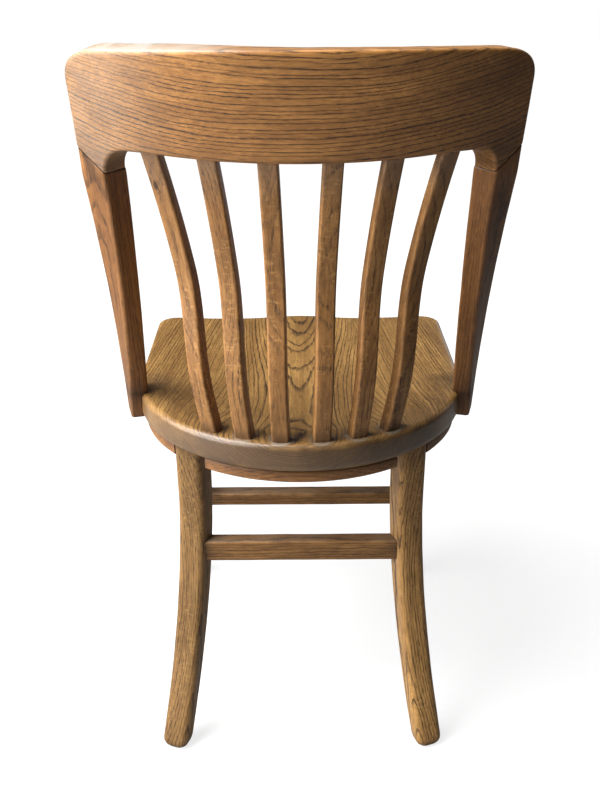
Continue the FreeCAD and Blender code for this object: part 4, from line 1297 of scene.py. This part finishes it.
class CHAIR_OT_stretchers(bpy.types.Operator):
    """Rear, front and side stretchers between the legs"""
    bl_idname = "chair.stretchers"
    bl_label = "Stretchers"

    def execute(self, context):
        chair = Chair(context.scene)
        base = chair.base
        material = finish(context.scene, "stretcher_oak")
        rear_z = base.rear_top - base.rear_height / 2
        rear = np.array((chair.back_leg_centre(rear_z)[0], base.rear_back - base.rear_depth / 2, rear_z))
        front = chair.front_leg_centre(base.front_middle)
        side_front = chair.front_leg_centre(base.side_middle)
        side_back = chair.back_leg_centre(base.side_middle)
        bars = (
            ("rear", rear * MIRROR, rear, base.rear_depth, base.rear_height),
            ("front", front * MIRROR, front, base.front_depth, base.front_height),
            ("left_side", side_front, side_back, base.side_depth, base.side_height),
            ("right_side", side_front * MIRROR, side_back * MIRROR, base.side_depth, base.side_height),
        )
        for k, (name, start, end, depth, height) in enumerate(bars):
            ends = np.stack((start, end))

            # Darker near the legs: grime and painted shade where the stretcher meets them
            def grime_and_shade(co, ends=ends):
                gap = np.min(np.linalg.norm(co[:, None, :] - ends, axis=2), axis=1)
                return np.exp(-np.clip(gap - 0.018, 0, None) / 0.008) * 0.8

            heart = (start + end) / 2 + (0.01, 0.012, -0.045)
            grown = board(end - start, (0.0, 1.0, 0.3), heart, 13.0 + 1.9 * k)
            make_piece(chair, name + "_stretcher_oak",
                       straight_bar(start, end, depth, height, base.bar_round), grown, material,
                       name + "_stretcher", grime_and_shade, tone_and_painted_light=-0.18 if name == "front" else 0.0, seed=21 + k)
        return {"FINISHED"}


class CHAIR_OT_aprons(bpy.types.Operator):
    """Strips under the seat: a bowed rear one, two sides and a straight front one"""
    bl_idname = "chair.aprons"
    bl_label = "Aprons"

    def paths(self, chair, leg):
        """Middle line of each apron, seen from above."""
        base, ring = chair.base, chair.apron_ring
        half_leg = base.front_top / 2
        end_turn = math.asin((leg[0] - base.back_width / 2) / (chair.seat.half_width - base.apron_inset))
        turn = np.linspace(-end_turn, end_turn, 60)
        rear = np.stack((ring * np.sin(turn), ring * np.cos(turn)), 1)
        end_x = chair.front_leg_x - half_leg - base.apron_gap
        front = np.stack((np.linspace(end_x, -end_x, 40), np.full(40, chair.apron_front_y)), 1)
        y = np.linspace(chair.front_leg_y + half_leg + base.apron_gap, 0, 34)
        straight = np.stack((blend(ring, chair.apron_front_x, y / chair.apron_front_y), y), 1)
        turn = np.linspace(0, math.acos(leg[0] / ring), 40)[1:]
        bent = np.stack((ring * np.cos(turn), ring * np.sin(turn)), 1)
        side = np.vstack((straight, bent))[::-1]
        return {"rear": rear, "front": front, "left_side": side, "right_side": (side * (-1, 1))[::-1]}

    def execute(self, context):
        chair = Chair(context.scene)
        base = chair.base
        material = finish(context.scene, "apron_oak")
        leg = chair.back_leg_centre(chair.seat_bottom)
        leg_face = facing(base.back_angle)[0]
        leg_side = leg + leg_face * (base.back_width / 2 + base.apron_gap)
        z = chair.seat_bottom - base.apron_height / 2
        # Darker along the top: painted shade under the seat's edge
        grime_and_shade = near_height(chair.seat_bottom, 0.004)
        for k, (name, path) in enumerate(self.paths(chair, leg).items()):
            centre = np.column_stack((path, np.full(len(path), z)))
            run = np.gradient(centre, axis=0)
            run /= np.linalg.norm(run, axis=1)[:, None]
            shape = sweep(centre, np.cross(UP, run), np.tile(UP, (len(path), 1)), base.apron_thickness,
                          base.apron_height, base.apron_round, np.zeros(len(path)))
            for side, sx in SIDES:
                if name == side + "_side":
                    shape = trimmed(*shape, [(leg_side * (sx, 1, 1), leg_face * (sx, 1, 1))], 0.0)
            heart = centre.mean(0) + (0.0, -0.04, 0.05)
            grown = board(centre[-1] - centre[0], (0.0, 0.4, 1.0), heart, 20.0 + 1.3 * k)
            make_piece(chair, name + "_apron_oak", shape, grown, material, name + "_apron", grime_and_shade,
                       seed=31 + k)
        return {"FINISHED"}


class CHAIR_OT_fasteners(bpy.types.Operator):
    """Wood plugs over the post screws, slotted apron screws and the hidden dowels and screws"""
    bl_idname = "chair.fasteners"
    bl_label = "Fasteners"

    def tree(self, name, radius, height, slotted):
        """One round head on every point, turned to the point's way."""
        tree, given = node_group(
            name, {"Heads": "Geometry", "Radius": "Float", "Height": "Float", "Material": "Material"})
        head = linked(tree, "GeometryNodeMeshCylinder", Vertices=28, Side_Segments=2, Fill_Segments=3,
                      Radius=given["Radius"], Depth=given["Height"])
        position = tree.nodes.new("GeometryNodeInputPosition").outputs[0]
        x, y, z = parts_of(tree, position)
        upper = z.limits(0.0, height * 0.45)
        if slotted:
            sunk = x.apply("ABSOLUTE").limits(radius * 0.10, radius * 0.22, 1.0, 0.0) * 0.5
        else:
            out = (x * x + y * y).apply("SQRT") / given["Radius"]
            sunk = out * out * 0.12
        shaped = linked(tree, "ShaderNodeCombineXYZ", X=x, Y=y, Z=z - upper * sunk * given["Height"])
        head = linked(tree, "GeometryNodeSetPosition", Geometry=head.outputs[0], Position=shaped.outputs[0])
        way = linked(tree, "GeometryNodeInputNamedAttribute", {"data_type": "FLOAT_VECTOR"}, Name="way")
        turn = linked(tree, "FunctionNodeAlignRotationToVector", {"axis": "Z"}, Vector=way.outputs[0])
        copies = linked(tree, "GeometryNodeInstanceOnPoints", Points=given["Heads"],
                        Instance=head.outputs[0], Rotation=turn.outputs[0])
        flow = linked(tree, "GeometryNodeRealizeInstances", Geometry=copies.outputs[0]).outputs[0]
        if not slotted:
            flow = stored(tree, flow, "grain", position)
        end_group(tree, flow, given["Material"])
        return tree

    def heads(self, context, name, spots, ways, radius, height, slot, node):
        """Heads on spots that look in given ways, standing for a CAD node."""
        start = bpy.data.meshes.new(name + "_spots")
        start.from_pydata([tuple(p) for p in spots], [], [])
        store(start, "way", ways)
        material = finish(context.scene, slot)
        tree = self.tree(name, radius, height, slotted=slot == "screw_steel")
        inputs = {"Radius": radius, "Height": height, "Material": material}
        hand_over(name, grown_mesh(context, name, tree, inputs, start), material, [node])

    def post_plugs(self, context, chair, sizes):
        """Two plugs in the outer face of each post's foot."""
        seat = chair.seat
        centre, turn, _, thick = chair.post_frame([seat.height - seat.thickness / 2])
        across, outward = facing(turn)
        spots, ways = [], []
        for _, sx in SIDES:
            for end in (1, -1):
                spot = centre[0] + outward[0] * (thick[0] / 2 - sizes.plug_sink)
                spot = spot + across[0] * (end * sizes.plug_spread)
                spots.append(spot * (sx, 1, 1) + chair.shift)
                ways.append(outward[0] * (sx, 1, 1))
        self.heads(context, "post_plugs_oak", spots, ways, sizes.plug_radius, sizes.plug_height, "plug_wood",
                   "post_plugs")

    def apron_screws(self, context, chair, sizes):
        """Three screws up through each apron."""
        ring = chair.apron_ring
        between_slats = chair.slat.seat_first + chair.slat.seat_pitch / 2
        places = [(ring * math.sin(a), ring * math.cos(a)) for a in (-between_slats, 0.0, between_slats)]
        places += [(part * chair.front_leg_x, chair.apron_front_y) for part in (-0.55, 0.0, 0.55)]
        for part in (0.12, 0.42, 0.72):
            x, y = blend(ring, chair.apron_front_x, part), part * chair.front_leg_y
            places += [(x, y), (-x, y)]
        z = chair.seat_bottom - chair.base.apron_height + sizes.screw_sink
        spots = [np.array((x, y, z)) + chair.shift for x, y in places]
        ways = np.tile(-UP, (len(spots), 1))
        self.heads(context, "apron_screws_steel", spots, ways, sizes.screw_radius, sizes.screw_height,
                   "screw_steel", "apron_screws")

    def execute(self, context):
        chair = Chair(context.scene)
        sizes = context.scene.chair_fasteners
        self.post_plugs(context, chair, sizes)
        self.apron_screws(context, chair, sizes)
        for node, slot in (("crest_dowels", "dowel_wood"), ("post_screws", "screw_steel")):
            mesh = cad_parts[node].data
            mesh.materials.clear()
            mesh.materials.append(finish(context.scene, slot))
        return {"FINISHED"}


class CHAIR_OT_studio(bpy.types.Operator):
    """Pale floor, soft lamps and the camera"""
    bl_idname = "chair.studio"
    bl_label = "Studio"

    def floor(self, scene):
        """Floor that the camera sees as white, with the chair's shadow on it."""
        reach = 9.0
        corners = [(-reach, -reach, 0), (reach, -reach, 0), (reach, reach, 0), (-reach, reach, 0)]
        mesh = bpy.data.meshes.new("floor")
        mesh.from_pydata(corners, [], [(0, 1, 2, 3)])
        floor = bpy.data.objects.new("floor", mesh)
        scene.collection.objects.link(floor)
        mat, tree = emptied("floor")
        seen = Field(tree, linked(tree, "ShaderNodeLightPath").outputs["Is Camera Ray"])
        paint = linked(tree, "ShaderNodeBsdfDiffuse", Color=(*scene.chair_colours.floor, 1.0))
        place = linked(tree, "ShaderNodeTexCoord").outputs["Object"]
        away = linked(tree, "ShaderNodeVectorMath", {"operation": "LENGTH"}, Vector=place)
        level = Field(tree, away.outputs["Value"]).limits(0.5, 2.0, 0.78, 1.0)
        glow = linked(tree, "ShaderNodeEmission", Color=(1, 1, 1, 1), Strength=seen * level)
        both = linked(tree, "ShaderNodeAddShader")
        tree.links.new(paint.outputs[0], both.inputs[0])
        tree.links.new(glow.outputs[0], both.inputs[1])
        linked(tree, "ShaderNodeOutputMaterial", Surface=both.outputs[0])
        mesh.materials.append(mat)

    def backdrop(self, scene):
        """World that the camera sees as white and that lights the chair only a little."""
        world = bpy.data.worlds.new("studio")
        scene.world = world
        world.use_nodes = True
        tree = world.node_tree
        tree.nodes.clear()
        seen = Field(tree, linked(tree, "ShaderNodeLightPath").outputs["Is Camera Ray"])
        light = 0.045
        sky = linked(tree, "ShaderNodeBackground", Color=(1, 1, 1, 1), Strength=seen * (1 - light) + light)
        linked(tree, "ShaderNodeOutputWorld", Surface=sky.outputs[0])

    def lamp(self, scene, name, place, target, size, watts):
        data = bpy.data.lights.new(name, "AREA")
        data.shape = "DISK"
        data.size = size
        data.energy = watts
        lamp = bpy.data.objects.new(name, data)
        scene.collection.objects.link(lamp)
        lamp.location = place
        lamp.rotation_euler = (Vector(target) - Vector(place)).to_track_quat("-Z", "Y").to_euler()

    def camera(self, scene, studio):
        data = bpy.data.cameras.new("camera")
        data.sensor_fit = "HORIZONTAL"
        data.sensor_width = 36.0
        data.lens = studio.lens
        camera = bpy.data.objects.new("camera", data)
        scene.collection.objects.link(camera)
        level = Vector((math.sin(studio.yaw), -math.cos(studio.yaw), 0.0))
        ahead = level * math.cos(studio.pitch) - Vector(UP) * math.sin(studio.pitch)
        right = ahead.cross(Vector(UP)).normalized()
        up = right.cross(ahead)
        cos, sin = math.cos(studio.roll), math.sin(studio.roll)
        turn = Matrix((right * cos + up * sin, up * cos - right * sin, -ahead)).transposed()
        camera.matrix_world = Matrix.Translation(studio.camera_place) @ turn.to_4x4()
        scene.camera = camera

    def execute(self, context):
        scene = context.scene
        studio = scene.chair_studio
        scene.view_settings.view_transform = "Standard"
        self.floor(scene)
        self.backdrop(scene)
        aim = (0.0, 0.0, 0.5)
        self.lamp(scene, "window", (1.30, 0.56, 1.10), (0.0, 0.1, 0.62), 1.8, studio.window_power)
        self.lamp(scene, "sky_panel", (1.0, 0.3, 2.3), aim, 1.6, studio.sky_power)
        self.lamp(scene, "room_fill", (-1.3, -1.5, 0.9), aim, 1.6, studio.fill_power)
        self.camera(scene, studio)
        return {"FINISHED"}


class CHAIR_PT_builder(bpy.types.Panel):
    """Lists the chair's pieces and sizes"""
    bl_idname = "CHAIR_PT_builder"
    bl_label = "Spindle Back Chair"
    bl_space_type = "VIEW_3D"
    bl_region_type = "UI"
    bl_category = "Chair"

    def draw(self, context):
        for operator in OPERATORS:
            self.layout.operator(operator.bl_idname)
        for group in GROUPS:
            box = self.layout.box()
            settings = getattr(context.scene, group)
            for name in settings.__annotations__:
                box.prop(settings, name)


GROUPS = {
    "chair_seat": SeatSizes,
    "chair_back": BackSizes,
    "chair_slats": SlatSizes,
    "chair_base": BaseSizes,
    "chair_fasteners": FastenerSizes,
    "chair_colours": OakColours,
    "chair_studio": StudioSettings,
}
OPERATORS = (
    CHAIR_OT_crest_rail, CHAIR_OT_back_posts, CHAIR_OT_back_slats, CHAIR_OT_seat_boards, CHAIR_OT_legs,
    CHAIR_OT_stretchers, CHAIR_OT_aprons, CHAIR_OT_fasteners, CHAIR_OT_studio,
)


def register():
    for kind in (*GROUPS.values(), *OPERATORS, CHAIR_PT_builder):
        bpy.utils.register_class(kind)
    for name, kind in GROUPS.items():
        setattr(bpy.types.Scene, name, bpy.props.PointerProperty(type=kind))


def unregister():
    for name in GROUPS:
        delattr(bpy.types.Scene, name)
    for kind in reversed((*GROUPS.values(), *OPERATORS, CHAIR_PT_builder)):
        bpy.utils.unregister_class(kind)


def main():
    register()
    bpy.ops.chair.crest_rail()
    bpy.ops.chair.back_posts()
    bpy.ops.chair.back_slats()
    bpy.ops.chair.seat_boards()
    bpy.ops.chair.legs()
    bpy.ops.chair.stretchers()
    bpy.ops.chair.aprons()
    bpy.ops.chair.fasteners()
    bpy.ops.chair.studio()


if __name__ == "__main__":
    main()
